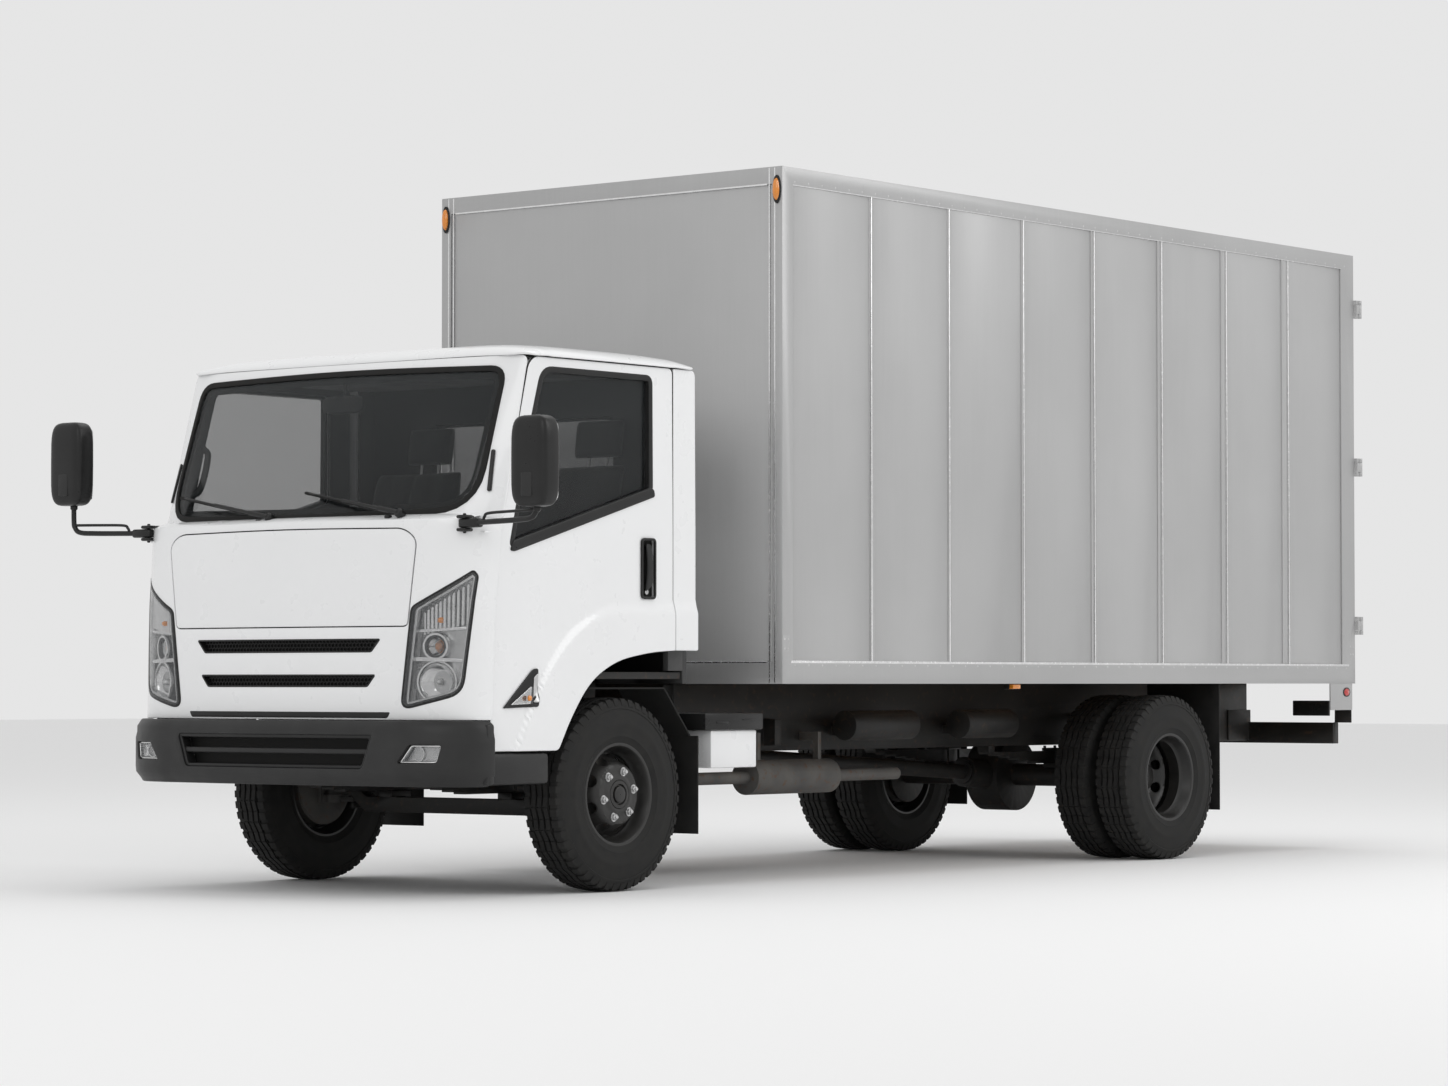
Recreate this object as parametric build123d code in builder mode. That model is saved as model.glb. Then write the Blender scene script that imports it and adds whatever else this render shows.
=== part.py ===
from build123d import *
import math
import os

# Light cab-over delivery truck with a closed cargo box. Millimetres, +Z up, the truck faces -Y,
# +X is its left side. The origin is on the ground, midway along, across the truck's overall box.

# ---- driving sizes: wheels and layout along the truck
tyre_radius = 402.5
tyre_width = 205.0
rim_radius = 203.0
wheelbase = 4100.0
front_overhang = 1120.0          # front axle to the bumper's front face
box_gap = 1010.0                 # front axle to the cargo box's front face
box_length = 4900.0
hinge_overhang = 47.0            # cargo box's rear face to the rear of the door hinges
front_tyre_face = 940.0          # centre plane to the outer wall of the front tyre
rear_tyre_face = 1020.0          # centre plane to the outer wall of the outer rear tyre
dual_gap = 35.0                  # between the two tyres of a rear pair

# ---- cargo box
box_half_width = 1000.0
box_bottom = 860.0
box_top = 3110.0
bottom_rail_height = 95.0
top_rail_height = 75.0
front_post_width = 76.0
rear_post_width = 130.0
rear_post_depth = 60.0
post_depth = 55.0
wall_thickness = 30.0
panel_recess = 6.0
panel_count = 8
strip_width = 14.0
floor_thickness = 35.0
cargo_door_thickness = 42.0
door_gap = 5.0

# ---- chassis
rail_half_spacing = 375.0        # centre plane to the outer face of a frame rail
rail_height = 180.0
rail_flange = 60.0
rail_wall = 6.0
rail_top = 735.0
king_pin_x = 715.0
king_pin_radius = 14.0
spindle_radius = 30.0
axle_tube_radius = 55.0
steer_arm_length = 130.0
air_tanks = ((2060.0, 2560.0), (2960.0, 3370.0))       # ends of each tank, behind the front axle
air_tank_straps = (2200.0, 2440.0, 3080.0, 3260.0)

# ---- cab
cab_half_width = 970.0
cab_back = 470.0                 # front axle to the cab's rear wall
cab_floor_height = 880.0
seat_base_top = 1190.0
cab_roof_height = 2260.0
cab_skirt_height = 722.0
cab_front_bulge = 1030.0         # front axle to the middle of the cab's front face
cab_corner_y = 850.0             # front axle to the corner where front and side meet
panel_thickness = 22.0
service_panel_bottom = 1092.0
service_panel_top = 1490.0
cowl_top = 1521.0
service_panel_half = 660.0
door_post_inner = 864.0          # inner face of the lower door post
door_front = 806.0               # front axle to the door hinge line
door_thickness = 64.0
door_rear = 318.0
glass_thickness = 5.0
glass_drop = 400.0
bumper_top = 715.0
bumper_bottom = 450.0
bumper_half_width = 990.0
tilt_pivot_y = 800.0             # ahead of the front axle
tilt_pivot_z = 600.0

# ---- clearances
running = 0.3                    # moving or curved faces
seat_gap = 0.4                   # flat faces of pieces that only rest near each other
shut_gap = 4.0                   # doors, flaps and panels

# ---- places that follow from the driving sizes
overall_length = front_overhang + box_gap + box_length + hinge_overhang
front_axle_y = -overall_length / 2 + front_overhang
rear_axle_y = front_axle_y + wheelbase
box_front_y = front_axle_y + box_gap
box_rear_y = box_front_y + box_length
axle_z = tyre_radius
front_tyre_x = front_tyre_face - tyre_width / 2
outer_tyre_x = rear_tyre_face - tyre_width / 2
inner_tyre_x = outer_tyre_x - tyre_width - dual_gap
dual_middle_x = (outer_tyre_x + inner_tyre_x) / 2
box_floor_top = box_bottom + bottom_rail_height + floor_thickness
rail_bottom = rail_top - rail_height
door_inner_x = cab_half_width - door_thickness
door_post_outer = door_inner_x - shut_gap
cab_floor_half = door_inner_x - 6.0
liner_outer = door_inner_x - 11.0
flap_outer = box_half_width - 15.0
sides = (("left", 1), ("right", -1))

# lock bars, windscreen, steering wheel, wipers and mirrors
lock_bar_x = 150.0
lock_bar_radius = 11.0
screen_low = (-955.0, 1545.0)
screen_high = (-668.0, 2189.8)
steering_x = -455.0
steering_y = -430.0
steering_z = 1395.0
steering_tilt = 55.0             # column above the horizontal, degrees
steering_wheel_radius = 205.0
wiper_pivots = (("left", 600.0), ("right", -135.0))
wiper_reach = 560.0
wiper_blade = 480.0
mirror_pivot_x = 905.0
mirror_pivot_y = -930.0
mirror_pivot_z = 1500.0
mirror_elbow_x = 1325.0
mirror_tube = 11.0
mirror_heads = {"left": 1732.0, "right": 1805.0}      # height of each head's middle
mirror_head_width = 190.0
mirror_head_height = 360.0
mirror_head_depth = 105.0


def block(x0, x1, y0, y1, z0, z1, mode=Mode.ADD):
    """Box between two corners, in the part being built."""
    with Locations(((x0 + x1) / 2, (y0 + y1) / 2, (z0 + z1) / 2)):
        Box(abs(x1 - x0), abs(y1 - y0), abs(z1 - z0), mode=mode)


def rod(start, end, radius, mode=Mode.ADD):
    """Round bar from one point to another, in the part being built."""
    direction = Vector(*end) - Vector(*start)
    with BuildSketch(Plane(origin=start, z_dir=direction)) as disc:
        Circle(radius)
    extrude(disc.sketch, amount=direction.length, mode=mode)


def prism(points, plane, amount, both=False, mode=Mode.ADD):
    """Straight-sided outline on a plane, pushed out, in the part being built."""
    with BuildSketch(plane) as outline:
        with BuildLine():
            Polyline(*points, close=True)
        make_face()
    extrude(outline.sketch, amount=amount, both=both, mode=mode)


def side_plane(x):
    """Plane across X whose first axis is +Y and second +Z."""
    return Plane(origin=(x, 0, 0), x_dir=(0, 1, 0), z_dir=(1, 0, 0))


def front_plane(y):
    """Plane across Y whose first axis is +X, second +Z, and that pushes out towards -Y."""
    return Plane(origin=(0, y, 0), x_dir=(1, 0, 0), z_dir=(0, -1, 0))


def from_axle(points):
    """Side-view points, measured from the front axle and the ground, moved to the part's own Y."""
    return [(front_axle_y + y, z) for y, z in points]


def save(builder, name):
    builder.part.label = name
    export_step(builder.part, "parts/" + name + ".step")


# ================================================================= chassis
def chassis_frame():
    front = front_axle_y - tilt_pivot_y + 40
    rear = box_rear_y - 60
    with BuildPart() as frame:
        for sign in (1, -1):
            web_out = sign * rail_half_spacing
            web_in = sign * (rail_half_spacing - rail_wall)
            flange_in = sign * (rail_half_spacing - rail_flange)
            block(web_in, web_out, front, rear, rail_bottom, rail_top)
            block(flange_in, web_out, front, rear, rail_bottom, rail_bottom + rail_wall)
            block(flange_in, web_out, front, rear, rail_top - rail_wall, rail_top)
            # bearer between the rail and the cargo box
            bearer_front = box_front_y + 20
            block(flange_in, web_out, bearer_front, rear, rail_top, box_bottom - seat_gap)
        cross_half = rail_half_spacing - rail_wall
        for y in (front + 40, front_axle_y + 560, front_axle_y + 1650, front_axle_y + 2600,
                  rear_axle_y - 520, rear_axle_y + 620, rear - 60):
            block(-cross_half, cross_half, y - 30, y + 30, rail_bottom + 30, rail_bottom + 120)
        for sign in (1, -1):
            # tilt pivot ears, one each side of the cab's lug, and the cab's rear rests
            for x in (sign * 405, sign * 465):
                ear = [(-tilt_pivot_y - 28, tilt_pivot_z - 28), (-tilt_pivot_y + 200, tilt_pivot_z - 45),
                       (-tilt_pivot_y + 200, tilt_pivot_z + 70), (-tilt_pivot_y - 28, tilt_pivot_z + 32)]
                prism(from_axle(ear), side_plane(x), 5, both=True)
            block(sign * rail_half_spacing, sign * 475, front_axle_y - 640, front_axle_y - 600, 570, 660)
            rod((sign * 400, front_axle_y - tilt_pivot_y, tilt_pivot_z),
                (sign * 470, front_axle_y - tilt_pivot_y, tilt_pivot_z), 14)
            block(sign * (rail_half_spacing - rail_flange), sign * 440, front_axle_y + 340,
                  front_axle_y + 420, rail_top, cab_floor_height - seat_gap)
            # carriers for the battery box, tanks and underrun bar
            for y in (front_axle_y + 700, front_axle_y + 900):
                block(sign * rail_half_spacing, sign * 560, y - 20, y + 20, 600, 640)
            for y in (front_axle_y + 1200, front_axle_y + 1700):
                block(sign * rail_half_spacing, sign * 440, y - 25, y + 25, 580, 700)
            for y in (front_axle_y + place for place in air_tank_straps):
                block(sign * rail_half_spacing, sign * 470, y - 15, y + 15, 620, 660)
    save(frame, "chassis_frame")


def front_axle_beam():
    half = king_pin_x
    with BuildPart() as beam:
        outline = [(-half, 375), (-half, 440), (-half + 120, 440), (-half + 230, 372), (half - 230, 372),
                   (half - 120, 440), (half, 440), (half, 375), (half - 60, 375), (half - 130, 372),
                   (half - 220, 305),
                   (-half + 220, 305), (-half + 130, 372), (-half + 60, 375)]
        prism(outline, front_plane(front_axle_y), 28, both=True)
        for sign in (1, -1):
            with Locations((sign * half, front_axle_y, (375 + 440) / 2)):
                Cylinder(33, 440 - 375)
        for sign in (1, -1):
            with Locations((sign * half, front_axle_y, (375 + 440) / 2)):
                Cylinder(king_pin_radius + running, 200, mode=Mode.SUBTRACT)
            block(sign * 305, sign * 385, front_axle_y - 60, front_axle_y + 60, 372, 400)
    save(beam, "front_axle_beam")


def steering_knuckle(name, sign):
    """Stub axle with its fork, king pin, brake back plate and steering arm."""
    with BuildPart() as knuckle:
        x = sign * king_pin_x
        for z0, z1 in ((340, 375 - running), (440 + running, 475)):
            with Locations((x, front_axle_y, (z0 + z1) / 2)):
                Cylinder(33, z1 - z0)
        with Locations((x, front_axle_y, 407.5)):
            Cylinder(king_pin_radius, 134)
        block(x + sign * 34, x + sign * 60, front_axle_y - 40, front_axle_y + 40, 340, 475)
        block(x, x + sign * 60, front_axle_y - 30, front_axle_y + 30, 340, 375 - running)
        block(x, x + sign * 60, front_axle_y - 30, front_axle_y + 30, 440 + running, 475)
        spindle_end = sign * (front_tyre_x + 60)
        rod((x + sign * 40, front_axle_y, axle_z), (spindle_end, front_axle_y, axle_z), spindle_radius)
        rod((x + sign * 50, front_axle_y, axle_z), (x + sign * 60, front_axle_y, axle_z), 150)
        block(x - sign * 15, x + sign * 15, front_axle_y + 10, front_axle_y + steer_arm_length, 342, 362)
        with Locations((x, front_axle_y + steer_arm_length, 352)):
            Cylinder(18, 20)
    save(knuckle, name)


def tie_rod():
    with BuildPart() as link:
        y = front_axle_y + steer_arm_length
        rod((-king_pin_x, y, 326), (king_pin_x, y, 326), 11)
        for sign in (1, -1):
            with Locations((sign * king_pin_x, y, 326)):
                Cylinder(18, 31)
    save(link, "tie_rod")


def tyre(name, sign, y, centres):
    """One or two tyres: a carcass open at the rim, in section, turned about the axle."""
    shoulder = 22.0
    carcass = 16.0
    with BuildPart() as rubber:
        for centre in centres:
            wall = tyre_width / 2
            middle = sign * centre
            bead = rim_radius + running
            section = Plane(origin=(middle, y, axle_z), x_dir=(1, 0, 0), z_dir=(0, -1, 0))
            with BuildSketch(section):
                with BuildLine():
                    Line((-wall + 18, bead), (-wall, bead + 60))
                    Line((-wall, bead + 60), (-wall, tyre_radius - 60))
                    ThreePointArc((-wall, tyre_radius - 60), (-wall + 8, tyre_radius - shoulder),
                                  (-wall + 25, tyre_radius - 4))
                    ThreePointArc((-wall + 25, tyre_radius - 4), (0, tyre_radius), (wall - 25,
                                                                                    tyre_radius - 4))
                    ThreePointArc((wall - 25, tyre_radius - 4), (wall - 8, tyre_radius - shoulder),
                                  (wall, tyre_radius - 60))
                    Line((wall, tyre_radius - 60), (wall, bead + 60))
                    Line((wall, bead + 60), (wall - 18, bead))
                    Line((wall - 18, bead), (wall - 18 - carcass, bead))
                    Line((wall - 18 - carcass, bead), (wall - carcass, bead + 65))
                    Line((wall - carcass, bead + 65), (wall - carcass, tyre_radius - 60))
                    Line((wall - carcass, tyre_radius - 60), (wall - 40, tyre_radius - 28))
                    Line((wall - 40, tyre_radius - 28), (-wall + 40, tyre_radius - 28))
                    Line((-wall + 40, tyre_radius - 28), (-wall + carcass, tyre_radius - 60))
                    Line((-wall + carcass, tyre_radius - 60), (-wall + carcass, bead + 65))
                    Line((-wall + carcass, bead + 65), (-wall + 18 + carcass, bead))
                    Line((-wall + 18 + carcass, bead), (-wall + 18, bead))
                make_face()
            revolve(axis=Axis((0, y, axle_z), (1, 0, 0)))
    save(rubber, name)


def rim_section(centre, sign, y, disc_offset, dish, facing=1):
    """Half section of a wheel: flanged barrel and pressed disc, turned about the axle."""
    half = tyre_width / 2 - 18
    lip = 222.0
    barrel = rim_radius - 12
    section = Plane(origin=(sign * centre, y, axle_z), x_dir=(sign * facing, 0, 0), z_dir=(0,
                                                                                           -sign * facing, 0))
    with BuildSketch(section) as barrel_section:
        with BuildLine():
            Polyline((-half - 13, lip), (-half - 6.5, lip), (-half - 6.5, rim_radius), (half + 6.5,
                                                                                        rim_radius),
                     (half + 6.5, lip), (half + 13, lip), (half + 13, barrel), (-half - 13, barrel),
                     close=True)
        make_face()
    revolve(barrel_section.sketch, axis=Axis((0, y, axle_z), (1, 0, 0)))
    with BuildSketch(section) as disc_section:
        with BuildLine():
            Polyline((disc_offset - 6, 95), (disc_offset + 6, 95), (disc_offset + 6, 138),
                     (disc_offset + dish + 6, barrel + 1), (disc_offset + dish - 6, barrel + 1),
                     (disc_offset - 6, 142), close=True)
        make_face()
    revolve(disc_section.sketch, axis=Axis((0, y, axle_z), (1, 0, 0)))


def stud_ring(x0, x1, y):
    for count in range(6):
        angle = math.radians(60 * count + 30)
        centre_y = y + 111 * math.cos(angle)
        centre_z = axle_z + 111 * math.sin(angle)
        rod((x0, centre_y, centre_z), (x1, centre_y, centre_z), 11)


def hand_holes(x0, x1, y):
    for count in range(8):
        angle = math.radians(45 * count)
        centre_y = y + 165 * math.cos(angle)
        centre_z = axle_z + 165 * math.sin(angle)
        rod((x0, centre_y, centre_z), (x1, centre_y, centre_z), 20, mode=Mode.SUBTRACT)


def front_rim(name, sign):
    """Front wheel with hub, brake drum and cap, bored to run on the stub axle."""
    disc_x = front_tyre_x + 70
    with BuildPart() as rim:
        rim_section(front_tyre_x, sign, front_axle_y, disc_x - front_tyre_x, -20)
        hand_holes(sign * (disc_x - 60), sign * (disc_x + 40), front_axle_y)
        stud_ring(sign * (disc_x + 4), sign * (disc_x + 22), front_axle_y)
        rod((sign * (disc_x - 30), front_axle_y, axle_z), (sign * (disc_x + 6), front_axle_y, axle_z), 142)
        rod((sign * (king_pin_x + 64), front_axle_y, axle_z), (sign * (disc_x - 20), front_axle_y, axle_z),
            148)
        rod((sign * disc_x, front_axle_y, axle_z), (sign * (disc_x + 26), front_axle_y, axle_z), 62)
        rod((sign * (king_pin_x + 60), front_axle_y, axle_z),
            (sign * (front_tyre_x + 61), front_axle_y, axle_z), spindle_radius + running,
            mode=Mode.SUBTRACT)
    save(rim, name)


def rear_rim(name, sign):
    """Twin rear wheel with hub and drum, bored to run on the axle tube."""
    with BuildPart() as rim:
        disc_offset = dual_middle_x + 6 - outer_tyre_x
        rim_section(outer_tyre_x, sign, rear_axle_y, disc_offset, 45)
        rim_section(inner_tyre_x, sign, rear_axle_y, disc_offset, 45, facing=-1)
        hand_holes(sign * (dual_middle_x - 70), sign * (dual_middle_x + 70), rear_axle_y)
        stud_ring(sign * (dual_middle_x + 8), sign * (dual_middle_x + 42), rear_axle_y)
        rod((sign * (dual_middle_x - 18), rear_axle_y, axle_z),
            (sign * (dual_middle_x + 18), rear_axle_y, axle_z), 142)
        rod((sign * (inner_tyre_x - 70), rear_axle_y, axle_z),
            (sign * dual_middle_x, rear_axle_y, axle_z), 150)
        rod((sign * dual_middle_x, rear_axle_y, axle_z),
            (sign * (dual_middle_x + 85), rear_axle_y, axle_z), 78)
        rod((sign * (inner_tyre_x - 80), rear_axle_y, axle_z),
            (sign * (dual_middle_x + 60), rear_axle_y, axle_z), axle_tube_radius + running,
            mode=Mode.SUBTRACT)
    save(rim, name)


def rear_axle_housing():
    with BuildPart() as axle:
        tube_end = dual_middle_x + 59
        rod((-tube_end, rear_axle_y, axle_z), (tube_end, rear_axle_y, axle_z), axle_tube_radius)
        rod((-95, rear_axle_y, axle_z), (95, rear_axle_y, axle_z), 180)
        rod((0, rear_axle_y - 120, axle_z), (0, rear_axle_y - 330, axle_z + 18), 75)
        for sign in (1, -1):
            block(sign * 305, sign * 385, rear_axle_y - 60, rear_axle_y + 60, axle_z + 40, axle_z + 62)
            rod((sign * (inner_tyre_x - 82), rear_axle_y, axle_z), (sign * (inner_tyre_x - 94),
                                                                    rear_axle_y, axle_z), 150)
    save(axle, "rear_axle_housing")


def propshaft():
    """Tubular shaft with end yokes, from the gearbox to the rear axle."""
    start = Vector(0, front_axle_y + 1271, 560)
    end = Vector(0, rear_axle_y - 331, axle_z + 18)
    along = (end - start).normalized()
    with BuildPart() as shaft:
        rod(tuple(start + along), tuple(end - along), 38)
        for place in (start + along, end - along * 13):
            rod(tuple(place), tuple(place + along * 12), 60)
    save(shaft, "propshaft")


def suspension():
    """Leaf packs, hangers, clamps and dampers of both axles."""
    leaf = 10.0
    with BuildPart() as springs:
        for axle_y, base, half_length, leaves, saddle in (
                (front_axle_y, 400 + seat_gap, 560, 4, 372), (rear_axle_y, axle_z + 62 + seat_gap, 640, 6,
                                                              axle_z)):
            for sign in (1, -1):
                for count in range(leaves):
                    reach = half_length * (1 - count * 0.13)
                    z = base + (leaves - 1 - count) * leaf
                    block(sign * 312, sign * 378, axle_y - reach, axle_y + reach, z, z + leaf)
                top = base + leaves * leaf
                for end in (-1, 1):
                    y = axle_y + end * (half_length - 15)
                    block(sign * 312, sign * 378, y - 25, y + 25, top, rail_bottom - seat_gap)
                for x in (sign * 296, sign * 394):
                    rod((x, axle_y - 45, saddle - 10 + 50), (x, axle_y - 45, top + 25), 7)
                    rod((x, axle_y + 45, saddle - 10 + 50), (x, axle_y + 45, top + 25), 7)
                block(sign * 286, sign * 404, axle_y - 55, axle_y + 55, top, top + 14)
                damper = sign * 430
                block(sign * 398, sign * 438, axle_y + 30, axle_y + 55, top, top + 14)
                rod((damper, axle_y + 40, top + 14), (damper, axle_y + 150, rail_top - 30), 22)
                block(sign * (rail_half_spacing + seat_gap), sign * 440, axle_y + 130, axle_y + 170,
                      rail_top - 50, rail_top - 20)
    save(springs, "suspension")


def engine_and_gearbox():
    with BuildPart() as power:
        # radiator, engine block with head and sump, bell housing and gearbox
        block(-290, 290, front_axle_y - 590, front_axle_y - 530, 450, 840)
        block(-160, 160, front_axle_y - 440, front_axle_y + 330, 560, 960)
        block(-130, 130, front_axle_y - 420, front_axle_y + 300, 960, 1060)
        block(-120, 120, front_axle_y + 60, front_axle_y + 320, 440, 560)
        rod((0, front_axle_y - 530, 640), (0, front_axle_y - 440, 640), 60)
        rod((0, front_axle_y - 500, 640), (0, front_axle_y - 485, 640), 190)
        rod((0, front_axle_y + 330, 640), (0, front_axle_y + 470, 620), 190)
        block(-130, 130, front_axle_y + 470, front_axle_y + 640 - 120, 480, 740)
        rod((0, front_axle_y + 600, 590), (0, front_axle_y + 1180, 565), 100)
        block(-130, 130, front_axle_y + 600, front_axle_y + 900, 470, 700)
        rod((0, front_axle_y + 1180, 565), (0, front_axle_y + 1270, 560), 60)
        for sign in (1, -1):
            block(sign * 160, sign * (rail_half_spacing - rail_wall - seat_gap), front_axle_y - 150,
                  front_axle_y - 90, 600, 650)
            block(sign * 130, sign * (rail_half_spacing - rail_wall - seat_gap), front_axle_y + 780,
                  front_axle_y + 840, 600, 650)
            block(sign * 290, sign * (rail_half_spacing - rail_wall - seat_gap), front_axle_y - 580,
                  front_axle_y - 540, 600, 650)
    save(power, "engine_and_gearbox")


def exhaust_system():
    with BuildPart() as exhaust:
        rod((470, front_axle_y + 1420, 440), (470, front_axle_y + 2030, 440), 78)
        rod((470, front_axle_y + 2030, 440), (470, front_axle_y + 2560, 440), 28)
        rod((470, front_axle_y + 900, 440), (470, front_axle_y + 1420, 440), 28)
        rod((210, front_axle_y + 560, 440), (470, front_axle_y + 900, 440), 28)
        rod((210, front_axle_y + 400, 470), (210, front_axle_y + 570, 438), 28)
        for y in (front_axle_y + 1500, front_axle_y + 1950):
            block(455, 485, y - 12, y + 12, 500, 620)
            block(rail_half_spacing + seat_gap, 485, y - 12, y + 12, 600, 640)
    save(exhaust, "exhaust_system")


def fuel_and_air_tanks():
    with BuildPart() as tanks:
        block(-820, -440 - seat_gap, front_axle_y + 1000, front_axle_y + 1900, 360, 700)
        fillet(tanks.edges().filter_by(Axis.Y), 50)
        rod((-700, front_axle_y + 1250, 690), (-700, front_axle_y + 1250, 745), 45)
        for y0, y1 in air_tanks:
            rod((545, front_axle_y + y0, 668), (545, front_axle_y + y1, 668), 68)
        for y in air_tank_straps:
            block(470 + seat_gap, 500, front_axle_y + y - 15, front_axle_y + y + 15, 622, 690)
    save(tanks, "fuel_and_air_tanks")


def battery_box():
    with BuildPart() as box:
        block(560 + seat_gap, 900, front_axle_y + 640, front_axle_y + 960, 500, 660)
        block(545, 915, front_axle_y + 585, front_axle_y + 985, 662, 735)
        block(560 + seat_gap, 900, front_axle_y + 640, front_axle_y + 960, 655, 670)
    save(box, "battery_box")


def mudguards():
    """Front wheel liners with flaps behind the wheels, and the rear flaps."""
    with BuildPart() as guards:
        for sign in (1, -1):
            liner = [(-300, 838), (330, 838), (500, 640), (500, 225), (508, 225), (508, 645), (335, 846),
                     (-300, 846)]
            inner = sign * 640
            outer = sign * liner_outer
            prism(from_axle(liner), side_plane(min(inner, outer)), abs(outer - inner))
            block(outer, sign * 940, front_axle_y + 500, front_axle_y + 508, 225, 640)
            block(sign * rail_half_spacing, inner, front_axle_y + 500, front_axle_y + 508, 600, 640)
            flap_y = rear_axle_y + tyre_radius + 85
            block(sign * 560, sign * flap_outer, flap_y, flap_y + 8, 230, box_bottom - seat_gap)
    save(guards, "mudguards")


def underrun_bar():
    with BuildPart() as bar:
        block(-900, 900, box_rear_y - 59, box_rear_y - 5, 545, 655)
        for sign in (1, -1):
            block(sign * (rail_half_spacing + seat_gap), sign * (rail_half_spacing + 10), box_rear_y - 260,
                  box_rear_y - 40, 560, 720)
            # corner brackets that carry the rear lamps
            block(sign * 992, sign * 998, box_rear_y - 250, box_rear_y - 30, 722, box_bottom - seat_gap)
            block(sign * 900, sign * 998, box_rear_y - 40, box_rear_y - 34, 655, box_bottom - seat_gap)
    save(bar, "underrun_bar")


# ================================================================= cargo box
def box_floor():
    with BuildPart() as floor:
        inside = box_half_width - rear_post_depth - seat_gap
        y0 = box_front_y + post_depth + seat_gap
        y1 = box_rear_y - post_depth - seat_gap
        top = box_bottom + bottom_rail_height
        block(-inside, inside, y0, y1, top, box_floor_top)
        count = 12
        for step in range(count):
            y = y0 + 60 + (y1 - y0 - 120) * step / (count - 1)
            block(-inside, inside, y - 25, y + 25, box_bottom, top)
        # corners cut out round the door stops
        notch = box_rear_y - cargo_door_thickness - 14 - 20 - 1.5
        for sign in (1, -1):
            block(sign * (box_half_width - rear_post_depth - 21.5), sign * (inside + 1), notch, y1 + 1,
                  box_bottom,
                  box_floor_top, mode=Mode.SUBTRACT)
    save(floor, "box_floor")


def side_panel_span():
    start = box_front_y + front_post_width
    width = (box_rear_y - rear_post_width - start) / panel_count
    return start, width


def box_walls():
    z0 = box_bottom + bottom_rail_height + seat_gap
    z1 = box_top - top_rail_height - seat_gap
    start, width = side_panel_span()
    with BuildPart() as walls:
        for sign in (1, -1):
            outer = sign * (box_half_width - panel_recess)
            inner = sign * (box_half_width - panel_recess - wall_thickness)
            for index in range(panel_count):
                y = start + index * width
                block(inner, outer, y + strip_width / 4, y + width - strip_width / 4, z0, z1)
        half = box_half_width - post_depth - seat_gap
        y = box_front_y + panel_recess
        block(-half, half, y, y + wall_thickness, z0, z1)
    save(walls, "box_walls")


def box_roof():
    with BuildPart() as roof:
        half = box_half_width - post_depth - seat_gap
        block(-half, half, box_front_y + post_depth + seat_gap, box_rear_y - post_depth - seat_gap,
              box_top - 45, box_top - 12)
    save(roof, "box_roof")


def box_frame():
    """Corner posts, top and bottom rails, panel joint strips and the rear door frame."""
    half = box_half_width
    strip_z0 = box_bottom + bottom_rail_height
    strip_z1 = box_top - top_rail_height
    start, width = side_panel_span()
    with BuildPart() as frame:
        for sign in (1, -1):
            outer = sign * half
            inner = sign * (half - post_depth)
            block(inner, outer, box_front_y, box_front_y + post_depth, box_bottom, box_top)
            block(sign * (half - wall_thickness), outer, box_front_y + post_depth,
                  box_front_y + front_post_width,
                  strip_z0, strip_z1)
            block(inner, outer, box_front_y + post_depth, box_rear_y, box_bottom, strip_z0)
            block(inner, outer, box_front_y + post_depth, box_rear_y, strip_z1, box_top)
            block(sign * (half - rear_post_depth), outer, box_rear_y - rear_post_width, box_rear_y,
                  strip_z0, strip_z1)
            for index in range(1, panel_count):
                y = start + index * width
                block(sign * (half - panel_recess), sign * (half - panel_recess + 3), y - strip_width / 2,
                      y + strip_width / 2, strip_z0, strip_z1)
        block(-half, half, box_front_y, box_front_y + post_depth, box_bottom, strip_z0)
        block(-half, half, box_front_y, box_front_y + post_depth, strip_z1, box_top)
        block(-half, half, box_rear_y - post_depth, box_rear_y, box_bottom, strip_z0)
        block(-half, half, box_rear_y - post_depth, box_rear_y, strip_z1, box_top)
        # door stop inside the rear frame, hinge knuckles and lock keepers
        stop = box_rear_y - cargo_door_thickness - 14
        for sign in (1, -1):
            block(sign * (half - rear_post_depth - 20), sign * (half - rear_post_depth), stop - 20, stop,
                  box_floor_top, strip_z1)
            for z in hinge_heights():
                for shift in (-36, 36):
                    rod((sign * hinge_x(), hinge_y(), z + shift - 11), (sign * hinge_x(), hinge_y(),
                                                                        z + shift + 11), 11)
                    block(sign * (half - 10), sign * hinge_x(), box_rear_y, hinge_y(), z + shift - 11,
                          z + shift + 11)
                rod((sign * hinge_x(), hinge_y(), z - 47), (sign * hinge_x(), hinge_y(), z + 47), 4)
    save(frame, "box_frame")


def hinge_x():
    return box_half_width + 16


def hinge_y():
    return box_rear_y + hinge_overhang - 11


def hinge_heights():
    z0 = box_bottom + bottom_rail_height
    z1 = box_top - top_rail_height
    span = z1 - z0
    return [z0 + span * share for share in (0.10, 0.50, 0.90)]


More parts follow.
